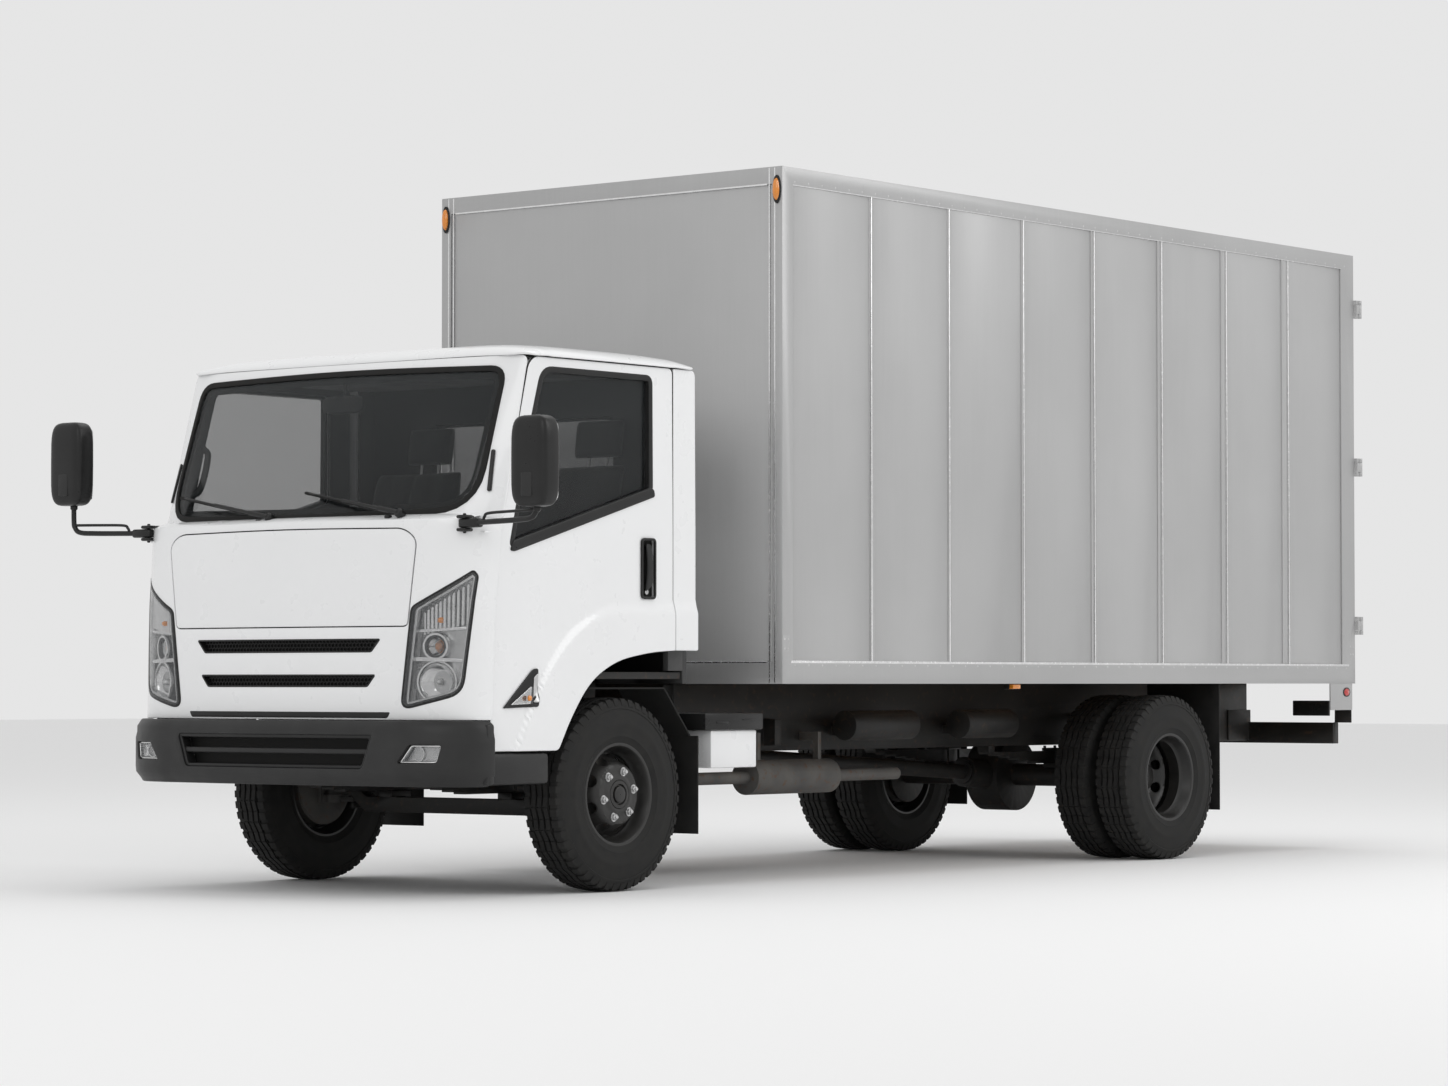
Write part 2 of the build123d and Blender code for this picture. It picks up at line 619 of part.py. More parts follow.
def cargo_door(name, sign):
    """One leaf of the rear doors, with its hinge straps and the bearings of the lock bar."""
    half = box_half_width - rear_post_depth - door_gap
    z0 = box_bottom + bottom_rail_height + door_gap
    z1 = box_top - top_rail_height - door_gap
    face = box_rear_y - 6
    with BuildPart() as leaf:
        block(sign * door_gap / 2, sign * half, face - cargo_door_thickness, face, z0, z1)
        for z in hinge_heights():
            block(sign * (half - 320), sign * half, face, box_rear_y + 1, z - 24, z + 24)
            block(sign * (half - 320), sign * hinge_x(), box_rear_y + 1, box_rear_y + 6, z - 24, z + 24)
            block(sign * (hinge_x() - 4), sign * (hinge_x() + 4), box_rear_y + 1, hinge_y(), z - 24,
                  z + 24)
            rod((sign * hinge_x(), hinge_y(), z - 24), (sign * hinge_x(), hinge_y(), z + 24), 11)
            rod((sign * hinge_x(), hinge_y(), z - 30), (sign * hinge_x(), hinge_y(), z + 30), 4.3,
                mode=Mode.SUBTRACT)
        bar_x = sign * lock_bar_x
        for z in (z0 + 120, z0 + 700, z1 - 700, z1 - 120):
            block(bar_x - 32, bar_x + 32, face, face + 30, z - 18, z + 18)
            rod((bar_x, lock_bar_y(), z - 30), (bar_x, lock_bar_y(), z + 30), lock_bar_radius + running,
                mode=Mode.SUBTRACT)
    save(leaf, name)


def lock_bar_y():
    return box_rear_y + 12


def lock_bar(name, sign):
    """Upright bar with end cams and its handle."""
    z0 = box_bottom + bottom_rail_height + door_gap
    z1 = box_top - top_rail_height - door_gap
    x = sign * lock_bar_x
    y = lock_bar_y()
    with BuildPart() as bar:
        rod((x, y, z0 + 10), (x, y, z1 - 10), lock_bar_radius)
        for z in (z0 + 30, z1 - 30):
            rod((x, y, z - 14), (x, y, z + 14), 16)
        handle_z = z0 + 480
        rod((x, y, handle_z - 22), (x, y, handle_z + 22), 16)
        block(x, x + sign * 330, y - 6, y + 8, handle_z - 14, handle_z + 14)
        fillet(bar.edges().filter_by(Axis.Y).sort_by(Axis.X)[-1 if sign > 0 else 0], 6)
    save(bar, name)


def box_lamps():
    """Oval amber marker lamps on the front posts, side markers and rear corner lamps."""
    with BuildPart() as lamps:
        for sign in (1, -1):
            with BuildSketch(front_plane(box_front_y - seat_gap)):
                with Locations((sign * (box_half_width - post_depth / 2), box_top - 100)):
                    Ellipse(22, 62)
            extrude(amount=20)
            block(sign * 955, sign * 985, front_axle_y + 2780, front_axle_y + 2850, box_bottom - 26,
                  box_bottom - seat_gap)
            with BuildSketch(side_plane(sign * (998 + seat_gap))):
                with Locations((box_rear_y - 90, 815)):
                    Ellipse(34, 24)
            extrude(amount=sign * 8)
            block(sign * 640, sign * 860, box_rear_y - 34, box_rear_y - 10, 690, 770)
            block(sign * 700, sign * 760, box_rear_y - 60, box_rear_y - 34, 655 + seat_gap, 770)
    save(lamps, "box_lamps")


# ================================================================= cab shell
def front_outline(extra=0.0):
    """Y of the cab's front at its middle, pushed out by extra, and at its corners."""
    middle = front_axle_y - cab_front_bulge - extra
    corner = front_axle_y - cab_corner_y
    return middle, corner


def front_skin(z0, z1, extra, thickness, half, corner_back):
    """Curved wall across the cab's front between two heights, in the part being built."""
    middle, corner = front_outline(extra)
    with BuildSketch(Plane.XY.offset(z0)) as plan:
        with BuildLine():
            ThreePointArc((-620, middle + 28), (0, middle), (620, middle + 28))
            ThreePointArc((620, middle + 28), (half - 85, middle + 78), (half, corner - corner_back))
            Line((half, corner - corner_back), (half - thickness * 1.4, corner - corner_back))
            ThreePointArc((half - thickness * 1.4, corner - corner_back), (half - 85 - thickness,
                                                                           middle + 78 + thickness),
                          (620 - thickness * 0.3, middle + 28 + thickness))
            ThreePointArc((620 - thickness * 0.3, middle + 28 + thickness), (0, middle + thickness),
                          (-620 + thickness * 0.3, middle + 28 + thickness))
            ThreePointArc((-620 + thickness * 0.3, middle + 28 + thickness),
                          (-half + 85 + thickness, middle + 78 + thickness), (-half + thickness * 1.4,
                                                                              corner - corner_back))
            Line((-half + thickness * 1.4, corner - corner_back), (-half, corner - corner_back))
            ThreePointArc((-half, corner - corner_back), (-half + 85, middle + 78), (-620, middle + 28))
        make_face()
    extrude(plan.sketch, amount=z1 - z0)


def headlamp_outline(sign, grow=0.0):
    """Front-view outline of a headlamp, grown for its opening."""
    return [(sign * (628 - grow), 755 - grow), (sign * (682 - grow), 1168 + grow * 0.6),
            (sign * (925 + grow * 0.6), 1315 + grow), (sign * (935 + grow), 1290), (sign * (892 + grow),
                                                                                    822 - grow)]


def cab_front_panel():
    with BuildPart() as panel:
        front_skin(cab_skirt_height, cowl_top, 0, panel_thickness, 945, 0)
        block(-620, 620, front_axle_y - 1000, front_axle_y - 930, cowl_top - 10, cowl_top)
        # opening of the service panel, the two grille slots and the lamps
        half = service_panel_half + shut_gap
        block(-half, half, front_axle_y - 1100, front_axle_y - 860, service_panel_bottom - shut_gap,
              service_panel_top + 0.8, mode=Mode.SUBTRACT)
        for sign in (1, -1):
            x = sign * mirror_pivot_x
            block(x - 26 - seat_gap, x + 26 + seat_gap, front_axle_y - 1000, front_axle_y - 840,
                  mirror_pivot_z - 34 - seat_gap, cowl_top + 1, mode=Mode.SUBTRACT)
        for half_width, z0, z1 in ((520, 990, 1040), (495, 850, 896), (560, 722, 760)):
            block(-half_width, half_width, front_axle_y - 1100, front_axle_y - 900, z0, z1,
                  mode=Mode.SUBTRACT)
        for sign in (1, -1):
            prism(headlamp_outline(sign, 0.8), front_plane(front_axle_y - 790), 400, mode=Mode.SUBTRACT)
            block(sign * 598, sign * 612, front_axle_y - 995, front_axle_y - 880 - seat_gap, 1045, 1084)
        # tilt lugs down to the pivot, between the frame's ears
        for sign in (1, -1):
            block(sign * 415, sign * 455, front_axle_y - tilt_pivot_y - 30,
                  front_axle_y - tilt_pivot_y + 30,
                  tilt_pivot_z - 30, cab_floor_height)
            rod((sign * 400, front_axle_y - tilt_pivot_y, tilt_pivot_z),
                (sign * 470, front_axle_y - tilt_pivot_y, tilt_pivot_z), 14 + running, mode=Mode.SUBTRACT)
    save(panel, "cab_front_panel")


def service_panel():
    """Flap across the upper front, hinged along its top edge."""
    half = service_panel_half
    with BuildPart() as flap:
        front_skin(service_panel_bottom, service_panel_top, 0, panel_thickness, 945, 0)
        block(-1200, -half, front_axle_y - 1200, front_axle_y - 700, 900, 1600, mode=Mode.SUBTRACT)
        block(half, 1200, front_axle_y - 1200, front_axle_y - 700, 900, 1600, mode=Mode.SUBTRACT)
    save(flap, "service_panel")


def cab_floor():
    with BuildPart() as floor:
        front = front_axle_y - 880
        rear = front_axle_y + cab_back - 34
        block(-760, 760, front, front_axle_y - 800, cab_floor_height, cab_floor_height + 30)
        block(-cab_floor_half, cab_floor_half, front_axle_y - 800, rear, cab_floor_height,
              cab_floor_height + 30)
        block(-300, 300, front_axle_y - 460, rear, cab_floor_height - 20, 1110)
        block(-275, 275, front_axle_y - 460, rear + 50, cab_floor_height - 40, 1085, mode=Mode.SUBTRACT)
        block(-760, 760, front, front + 20, cab_floor_height, 1120)
        # seat bases
        for x in (-470, 470):
            block(x - 160, x + 230 if x < 0 else x + 160, front_axle_y - 150, front_axle_y + 260,
                  cab_floor_height + 30,
                  seat_base_top)
    save(floor, "cab_floor")


def cab_back_wall():
    with BuildPart() as wall:
        y1 = front_axle_y + cab_back
        block(-905, 905, y1 - 30, y1, cab_floor_height - 20, cab_roof_height - 70)
        block(-520, 520, y1 - 60, y1 + 20, 1640, 2010, mode=Mode.SUBTRACT)
    save(wall, "cab_back_wall")


def cab_roof():
    with BuildPart() as roof:
        outline = [(-640, cab_roof_height - 62), (-600, cab_roof_height - 22), (-400, cab_roof_height),
                   (300, cab_roof_height),
                   (430, cab_roof_height - 45), (cab_back, cab_roof_height - 69), (cab_back,
                                                                                   cab_roof_height - 70 + seat_gap),
                   (-640, cab_roof_height - 70 + seat_gap)]
        prism(from_axle(outline), side_plane(0), 925, both=True)
        block(-870, 870, front_axle_y - 560, front_axle_y + 400, cab_roof_height - 90,
              cab_roof_height - 28, mode=Mode.SUBTRACT)
    save(roof, "cab_roof")


def mirror_brackets():
    """Fixed pivot brackets of both mirror arms, on the cab's corners, in the part being built."""
    for sign in (1, -1):
        y = front_axle_y + mirror_pivot_y
        x = sign * mirror_pivot_x
        for z in (mirror_pivot_z - 26, mirror_pivot_z + 26):
            block(x - 26, x + 26, y - 24, y + 24, z - 7, z + 7)
        block(x - sign * 26, x - sign * 4, y + 24, y + 66, mirror_pivot_z - 33, mirror_pivot_z + 33)
        rod((x, y, mirror_pivot_z - 34), (x, y, mirror_pivot_z + 34), 7)


def cab_pillars():
    """Windscreen pillars, lower door posts and rear quarter panels of both sides."""
    top = cab_roof_height - 70
    with BuildPart() as pillars:
        for sign in (1, -1):
            x0 = min(sign * 870, sign * 945)
            screen_post = [(-838, cowl_top + seat_gap), (-775, cowl_top + seat_gap), (-606, top), (-668,
                                                                                                   top)]
            prism(from_axle(screen_post), side_plane(x0), 75)
            post = [(-838, 600), (-838, cowl_top), (-800 - seat_gap, cowl_top), (-800 - seat_gap, 600)]
            prism(from_axle(post), side_plane(min(sign * door_post_inner, sign * door_post_outer)),
                  door_post_outer - door_post_inner)
            for z in (800, 1180):
                block(sign * door_post_outer, sign * (door_inner_x - seat_gap), front_axle_y - 832,
                      front_axle_y - 806, z - 45, z + 45)
            x0 = min(sign * (cab_half_width - 60), sign * cab_half_width)
            quarter = [(door_rear + shut_gap, 1010), (door_rear + shut_gap, top), (cab_back, top),
                       (cab_back, 1010)]
            prism(from_axle(quarter), side_plane(x0), 60)
            block(sign * 880, sign * (cab_half_width - 60 + 1), front_axle_y + door_rear + 20,
                  front_axle_y + cab_back - 30 - seat_gap,
                  cab_floor_height + 30 + seat_gap, top)
        mirror_brackets()
    save(pillars, "cab_pillars")


def cab_glass():
    """Windscreen and rear window."""
    with BuildPart() as glass:
        y0, z0 = screen_low
        y1, z1 = screen_high
        drop = 90.0
        with BuildSketch(Plane.XY.offset(z0)):
            with BuildLine():
                ThreePointArc((-860, front_axle_y + y0 + drop), (0, front_axle_y + y0), (860,
                                                                                         front_axle_y + y0 + drop))
                Line((860, front_axle_y + y0 + drop), (860, front_axle_y + y0 + drop + 6))
                ThreePointArc((860, front_axle_y + y0 + drop + 6), (0, front_axle_y + y0 + 6), (-860,
                                                                                                front_axle_y + y0 + drop + 6))
                Line((-860, front_axle_y + y0 + drop + 6), (-860, front_axle_y + y0 + drop))
            make_face()
        extrude(dir=Vector(0, y1 - y0, z1 - z0), amount=math.hypot(y1 - y0, z1 - z0))
        back = front_axle_y + cab_back
        block(-520 + seat_gap, 520 - seat_gap, back - 20, back - 14, 1640 + seat_gap, 2010 - seat_gap)
    save(glass, "cab_glass")


def door_outline():
    """Side outline of a door, over the wheel arch."""
    return [(-door_front - 28, 590), (-door_front, 1196), (-door_front + 35, 1480), (-600, 2155), (-540,
                                                                                                   cab_roof_height - 72),
            (door_rear - 10, cab_roof_height - 72), (door_rear, 2100), (door_rear, 1000), (160, 992), (-62,
                                                                                                       957), (-232, 872), (-352, 722), (-430, 590)]


def window_outline(grow=0.0, down=0.0):
    """Door window, and the pocket below it when lowered."""
    return [(-706 - grow, 1420 - grow - down), (174 + grow, 1668 - grow * 0.6 - down), (174 + grow,
                                                                                        2140 + grow),
            (-512 - grow * 0.6, 2140 + grow), (-600 - grow, 1850), (-706 - grow, 1460)]


def cab_door(name, sign):
    """Pressed door shell with a pocket for its glass and hinge knuckles at its front edge."""
    outer = sign * cab_half_width
    inner = sign * door_inner_x
    low = min(outer, inner)
    with BuildPart() as door:
        prism(from_axle(door_outline()), side_plane(low), door_thickness)
        prism(from_axle(window_outline()), side_plane(low - 5), door_thickness + 10, mode=Mode.SUBTRACT)
        pocket = sign * (cab_half_width - 38)
        prism(from_axle(window_outline(12, glass_drop + 20)), side_plane(pocket),
              glass_thickness / 2 + 0.5, both=True, mode=Mode.SUBTRACT)
        handle = handle_box(grow=2)
        block(outer + sign * 5, outer - sign * 21.6, front_axle_y + handle[0], front_axle_y + handle[1],
              handle[2],
              handle[3], mode=Mode.SUBTRACT)
    save(door, name)


def handle_box(grow=0.0):
    """Outer door handle: rear edge first in Y from the axle, then heights."""
    return (112 - grow, 190 + grow, 1222 - grow, 1460 + grow)


def door_handle(name, sign):
    y0, y1, z0, z1 = handle_box()
    with BuildPart() as handle:
        x0 = sign * (cab_half_width - 8)
        x1 = sign * (cab_half_width + 10)
        block(x0, x1, front_axle_y + y0, front_axle_y + y1, z0, z1)
        block(sign * (cab_half_width - 21), x0, front_axle_y + y0, front_axle_y + y0 + 16, z0 + 20,
              z1 - 20)
    save(handle, name)


def door_glass(name, sign):
    with BuildPart() as glass:
        middle = sign * (cab_half_width - 38)
        prism(from_axle(window_outline(8)), side_plane(middle), glass_thickness / 2, both=True)
    save(glass, name)


def bumper():
    """Moulded bumper with a middle intake and lamp openings, and the step sills under the doors."""
    with BuildPart() as skin:
        front_skin(bumper_bottom, bumper_top, front_overhang - cab_front_bulge, 34, bumper_half_width, 28)
        prism([(-505, 520), (505, 520), (556, 655), (-556, 655)], front_plane(front_axle_y - 1000), 200,
              mode=Mode.SUBTRACT)
        prism([(-562, 585), (562, 585), (562, 600), (-562, 600)], front_plane(front_axle_y - 1074), 18)
        for sign in (1, -1):
            prism(fog_outline(sign, 0.6), front_plane(front_axle_y - 900), 250, mode=Mode.SUBTRACT)
        for sign in (1, -1):
            rear = front_axle_y - cab_corner_y - 28
            block(sign * (bumper_half_width - 47), sign * bumper_half_width, rear, front_axle_y - 838,
                  bumper_bottom, bumper_top)
            block(sign * 900, sign * (cab_half_width + 4), front_axle_y - 838, front_axle_y - 490, 455,
                  582)
            block(sign * 600, sign * 900, front_axle_y - 900, front_axle_y - 868, 560, 620)
            block(sign * 860, sign * door_post_outer, front_axle_y - 870, front_axle_y - 815, 500,
                  600 - seat_gap)
    save(skin, "bumper")


def fog_outline(sign, grow=0.0):
    return [(sign * (683 - grow), 545 - grow), (sign * (740 - grow), 618 + grow), (sign * (868 + grow),
                                                                                   618 + grow),
            (sign * (850 + grow), 545 - grow)]


def front_lamps():
    """Headlamps and fog lamps, set in their openings."""
    with BuildPart() as lamps:
        front_skin(700, 1400, 0, 55, 945, 0)
        with BuildSketch(front_plane(front_axle_y - 700)):
            for sign in (1, -1):
                with BuildLine():
                    Polyline(*headlamp_outline(sign), close=True)
                make_face()
        extrude(amount=500, mode=Mode.INTERSECT)
        for sign in (1, -1):
            prism(fog_outline(sign), front_plane(front_axle_y - 960), 100)
            # brackets back to the bumper's and the panel's inner faces
            block(sign * 700, sign * 820, front_axle_y - 960, front_axle_y - 925, 570, 600)
    save(lamps, "front_lamps")


def dashboard():
    """Dashboard moulding and the steering column in its cowl."""
    with BuildPart() as dash:
        outline = [(-846, 1490), (-846, 1150), (-760, 1130), (-640, 1180), (-560, 1330), (-580, 1430),
                   (-700, 1495)]
        prism(from_axle(outline), side_plane(0), door_post_inner - seat_gap, both=True)
        x = steering_x
        hub = Vector(x, front_axle_y + steering_y, steering_z)
        along = steering_axis()
        rod(tuple(hub - along * 260), tuple(hub - along * 42), 42)
        for x0 in (-90, 330):
            block(x0, x0 + 240, front_axle_y - 640, front_axle_y - 575, 1230, 1300)
    save(dash, "dashboard")


def steering_axis():
    angle = math.radians(steering_tilt)
    return Vector(0, math.cos(angle), math.sin(angle))


def steering_wheel():
    hub = Vector(steering_x, front_axle_y + steering_y, steering_z)
    along = steering_axis()
    plane = Plane(origin=tuple(hub), x_dir=(1, 0, 0), z_dir=tuple(along))
    with BuildPart() as wheel:
        with BuildSketch(Plane(origin=tuple(hub), x_dir=(1, 0, 0), z_dir=tuple(along.cross(Vector(1, 0,
                                                                                                  0)) * -1))):
            with Locations((steering_wheel_radius, 0)):
                Circle(15)
        revolve(axis=Axis(tuple(hub), tuple(along)))
        with BuildSketch(plane.offset(-18)):
            Circle(62)
        extrude(amount=30)
        with BuildSketch(plane.offset(-9)):
            with PolarLocations(0, 3, start_angle=30):
                with Locations((steering_wheel_radius / 2 + 10, 0)):
                    Rectangle(steering_wheel_radius - 20, 26)
        extrude(amount=14)
        with BuildSketch(plane.offset(-41.5)):
            Circle(22)
        extrude(amount=30)
    save(wheel, "steering_wheel")


def gear_lever():
    with BuildPart() as lever:
        rod((-110, front_axle_y - 420, 1127), (-110, front_axle_y - 395, 1330), 9)
        with Locations((-110, front_axle_y - 393, 1345)):
            Sphere(27)
        with Locations((-110, front_axle_y - 420, 1110 + 16 + running)):
            Sphere(16)
    save(lever, "gear_lever")


def pedal(name, x, width, height):
    """Hanging pedal: an arm from its cross pin, with a pad."""
    with BuildPart() as arm:
        rod((x - 16, front_axle_y - 760, 1115.6), (x + 16, front_axle_y - 760, 1115.6), 14)
        rod((x, front_axle_y - 760, 1115.6), (x, front_axle_y - 735, 960), 8)
        block(x - width / 2, x + width / 2, front_axle_y - 745, front_axle_y - 731, 955 - height / 2,
              955 + height / 2)
    save(arm, name)


def screen_normal():
    run = screen_high[0] - screen_low[0]
    rise = screen_high[1] - screen_low[1]
    length = math.hypot(run, rise)
    return Vector(0, -rise / length, run / length)


def screen_up():
    run = screen_high[0] - screen_low[0]
    rise = screen_high[1] - screen_low[1]
    length = math.hypot(run, rise)
    return Vector(0, run / length, rise / length)


def wiper_pivot(x):
    """Point of a wiper's spindle where it leaves the cowl, in front of the screen."""
    return Vector(x, front_axle_y + screen_low[0], screen_low[1] - 12) + screen_normal() * 32


def wiper(name, x):
    """Spindle, tapering arm and blade, parked across the foot of the screen."""
    base = wiper_pivot(x)
    normal = screen_normal()
    up = screen_up()
    across = Vector(-1, 0, 0)
    park = (across * math.cos(math.radians(11)) + up * math.sin(math.radians(11))).normalized()
    tip = base + park * wiper_reach * 0.62 + normal * 4
    blade_start = base + park * (wiper_reach * 0.62 - wiper_blade / 2)
    blade_end = base + park * (wiper_reach * 0.62 + wiper_blade / 2)
    with BuildPart() as arm:
        rod(tuple(base - normal * 26), tuple(base + normal * 12), 15)
        rod(tuple(base + normal * 2), tuple(tip), 6)
        rod(tuple(blade_start - normal * 8), tuple(blade_end - normal * 8), 7)
        rod(tuple(tip - normal * 14), tuple(tip + normal * 4), 7)
    save(arm, name)


def mirror_arm(name, sign, side):
    """Bent tube from the pivot out and up to the head, with a thinner brace."""
    y = front_axle_y + mirror_pivot_y
    z = mirror_pivot_z
    head_low = mirror_heads[side] - mirror_head_height / 2
    elbow_z = z + 8
    with BuildPart() as arm:
        with Locations((sign * mirror_pivot_x, y, z)):
            Cylinder(20, 37)
        rod((sign * (mirror_pivot_x + 12), y, z), (sign * (mirror_elbow_x - 40), y - 40, elbow_z),
            mirror_tube)
        rod((sign * (mirror_elbow_x - 40), y - 40, elbow_z), (sign * mirror_elbow_x, y - 42, elbow_z + 34),
            mirror_tube)
        rod((sign * mirror_elbow_x, y - 42, elbow_z + 32), (sign * mirror_elbow_x, y - 42, head_low + 120),
            mirror_tube)
        with Locations((sign * (mirror_elbow_x - 40), y - 40, elbow_z), (sign * mirror_elbow_x, y - 42,
                                                                         elbow_z + 34)):
            Sphere(mirror_tube)
        rod((sign * (mirror_pivot_x + 110), y - 10, z + 2), (sign * (mirror_pivot_x + 130), y - 12,
                                                             z + 30), 6)
        rod((sign * (mirror_pivot_x + 130), y - 12, z + 30), (sign * mirror_elbow_x, y - 42, z + 36), 6)
        with Locations((sign * mirror_pivot_x, y, z)):
            Cylinder(7 + running, 60, mode=Mode.SUBTRACT)
    save(arm, name)


def mirror_head(name, sign, side):
    """Rounded housing around the top of its tube."""
    middle_z = mirror_heads[side]
    y = front_axle_y + mirror_pivot_y - 42
    x = sign * mirror_elbow_x
    with BuildPart() as head:
        block(x - mirror_head_width / 2, x + mirror_head_width / 2, y - mirror_head_depth + 40, y + 40,
              middle_z - mirror_head_height / 2, middle_z + mirror_head_height / 2)
        fillet(head.edges().filter_by(Axis.Y), 35)
        rod((x, y, middle_z - mirror_head_height / 2 - 1), (x, y, middle_z - mirror_head_height / 2 + 121),
            mirror_tube + running, mode=Mode.SUBTRACT)
    save(head, name)


def seat(name, x0, x1):
    """Plain closed solid for a seat: cushion, backrest and head restraints."""
    with BuildPart() as cushion:
        base = seat_base_top + seat_gap
        outline = [(-210, base), (-225, base + 90), (-150, base + 135), (170, base + 115), (330,
                                                                                            base + 620), (405, base + 620),
                   (360, base + 40), (260, base)]
        prism(from_axle(outline), side_plane(x0), x1 - x0)
        heads = 1 if x1 - x0 < 600 else 2
        for index in range(heads):
            middle = x0 + (x1 - x0) * (index + 0.5) / heads
            block(middle - 125, middle + 125, front_axle_y + 325, front_axle_y + 412, base + 600,
                  base + 800)
    save(cushion, name)


def main():
    os.makedirs("parts", exist_ok=True)
    chassis_frame()
    front_axle_beam()
    tie_rod()
    rear_axle_housing()
    propshaft()
    suspension()
    engine_and_gearbox()
    exhaust_system()
    fuel_and_air_tanks()
    battery_box()
    mudguards()
    underrun_bar()
    box_floor()
    box_walls()
    box_roof()
    box_frame()
    box_lamps()
    cab_front_panel()
    service_panel()
    cab_floor()
    cab_back_wall()
    cab_roof()
    cab_pillars()
    cab_glass()
    bumper()
    front_lamps()
    dashboard()
    steering_wheel()
    gear_lever()
    pedal("clutch_pedal", steering_x - 110, 60, 50)
    pedal("brake_pedal", steering_x + 10, 70, 50)
    pedal("accelerator_pedal", steering_x + 120, 48, 80)
    seat("driver_seat", -720, -220)
    seat("passenger_seat", -130, 720)
    for side, sign in sides:
        steering_knuckle("knuckle_" + side, sign)
        tyre("front_tyre_" + side, sign, front_axle_y, (front_tyre_x,))
        tyre("rear_tyres_" + side, sign, rear_axle_y, (outer_tyre_x, inner_tyre_x))
        front_rim("front_rim_" + side, sign)
        rear_rim("rear_rims_" + side, sign)
        cargo_door("cargo_door_" + side, sign)
        lock_bar("lock_bar_" + side, sign)
        cab_door("cab_door_" + side, sign)
        door_handle("door_handle_" + side, sign)
        door_glass("door_glass_" + side, sign)
        mirror_arm("mirror_arm_" + side, sign, side)
        mirror_head("mirror_head_" + side, sign, side)
    for side, x in wiper_pivots:
        wiper("wiper_" + side, x)


main()
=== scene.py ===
import math

import bmesh
import bpy
import numpy as np
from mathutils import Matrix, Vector
from mathutils.geometry import delaunay_2d_cdt


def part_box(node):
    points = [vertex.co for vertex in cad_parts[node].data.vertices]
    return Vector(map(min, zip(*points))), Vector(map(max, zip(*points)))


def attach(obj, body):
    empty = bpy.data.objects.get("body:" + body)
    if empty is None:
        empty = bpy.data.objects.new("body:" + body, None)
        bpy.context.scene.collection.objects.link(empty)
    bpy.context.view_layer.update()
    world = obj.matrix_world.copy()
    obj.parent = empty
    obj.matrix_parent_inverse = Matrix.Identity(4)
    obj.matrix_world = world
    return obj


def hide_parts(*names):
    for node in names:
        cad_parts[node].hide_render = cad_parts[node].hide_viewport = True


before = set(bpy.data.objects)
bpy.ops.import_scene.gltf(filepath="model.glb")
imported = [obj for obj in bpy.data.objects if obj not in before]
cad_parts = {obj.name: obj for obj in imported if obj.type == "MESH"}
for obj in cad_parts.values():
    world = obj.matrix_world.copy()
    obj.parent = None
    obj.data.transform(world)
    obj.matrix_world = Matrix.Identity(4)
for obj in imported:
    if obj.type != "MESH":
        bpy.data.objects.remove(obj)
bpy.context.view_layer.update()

# ------------------------------------------------------------------ places read from the frame
FRONT_AXLE = (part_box("front_tyre_left")[0].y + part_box("front_tyre_left")[1].y) / 2
REAR_AXLE = (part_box("rear_tyres_left")[0].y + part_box("rear_tyres_left")[1].y) / 2
TYRE_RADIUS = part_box("front_tyre_left")[1].z / 2
AXLE_Z = TYRE_RADIUS
TYRE_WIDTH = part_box("front_tyre_left")[1].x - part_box("front_tyre_left")[0].x
FRONT_TYRE_X = (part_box("front_tyre_left")[0].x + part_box("front_tyre_left")[1].x) / 2
OUTER_TYRE_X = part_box("rear_tyres_left")[1].x - TYRE_WIDTH / 2
INNER_TYRE_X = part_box("rear_tyres_left")[0].x + TYRE_WIDTH / 2
BOX_LOW, BOX_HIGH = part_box("box_frame")
BOX_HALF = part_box("box_walls")[1].x + 0.006
BOX_FRONT = BOX_LOW.y
BOX_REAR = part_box("cargo_door_left")[0].y + 0.048
BOX_BOTTOM = BOX_LOW.z
BOX_TOP = BOX_HIGH.z
CAB_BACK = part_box("cab_back_wall")[1].y
ROOF_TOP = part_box("cab_roof")[1].z
SIDES = (("left", 1), ("right", -1))


# ------------------------------------------------------------------ shader wiring
class Wire:
    """A shader socket that takes part in ordinary arithmetic."""

    def __init__(self, finish, socket):
        self.finish = finish
        self.socket = socket

    def maths(self, operation, other, swapped=False):
        pair = (other, self) if swapped else (self, other)
        return self.finish.node("ShaderNodeMath", {"operation": operation}, {0: pair[0], 1: pair[1]})

    def __add__(self, other):
        return self.maths("ADD", other)

    def __radd__(self, other):
        return self.maths("ADD", other, True)

    def __sub__(self, other):
        return self.maths("SUBTRACT", other)

    def __rsub__(self, other):
        return self.maths("SUBTRACT", other, True)

    def __mul__(self, other):
        return self.maths("MULTIPLY", other)

    def __rmul__(self, other):
        return self.maths("MULTIPLY", other, True)

    def __truediv__(self, other):
        return self.maths("DIVIDE", other)


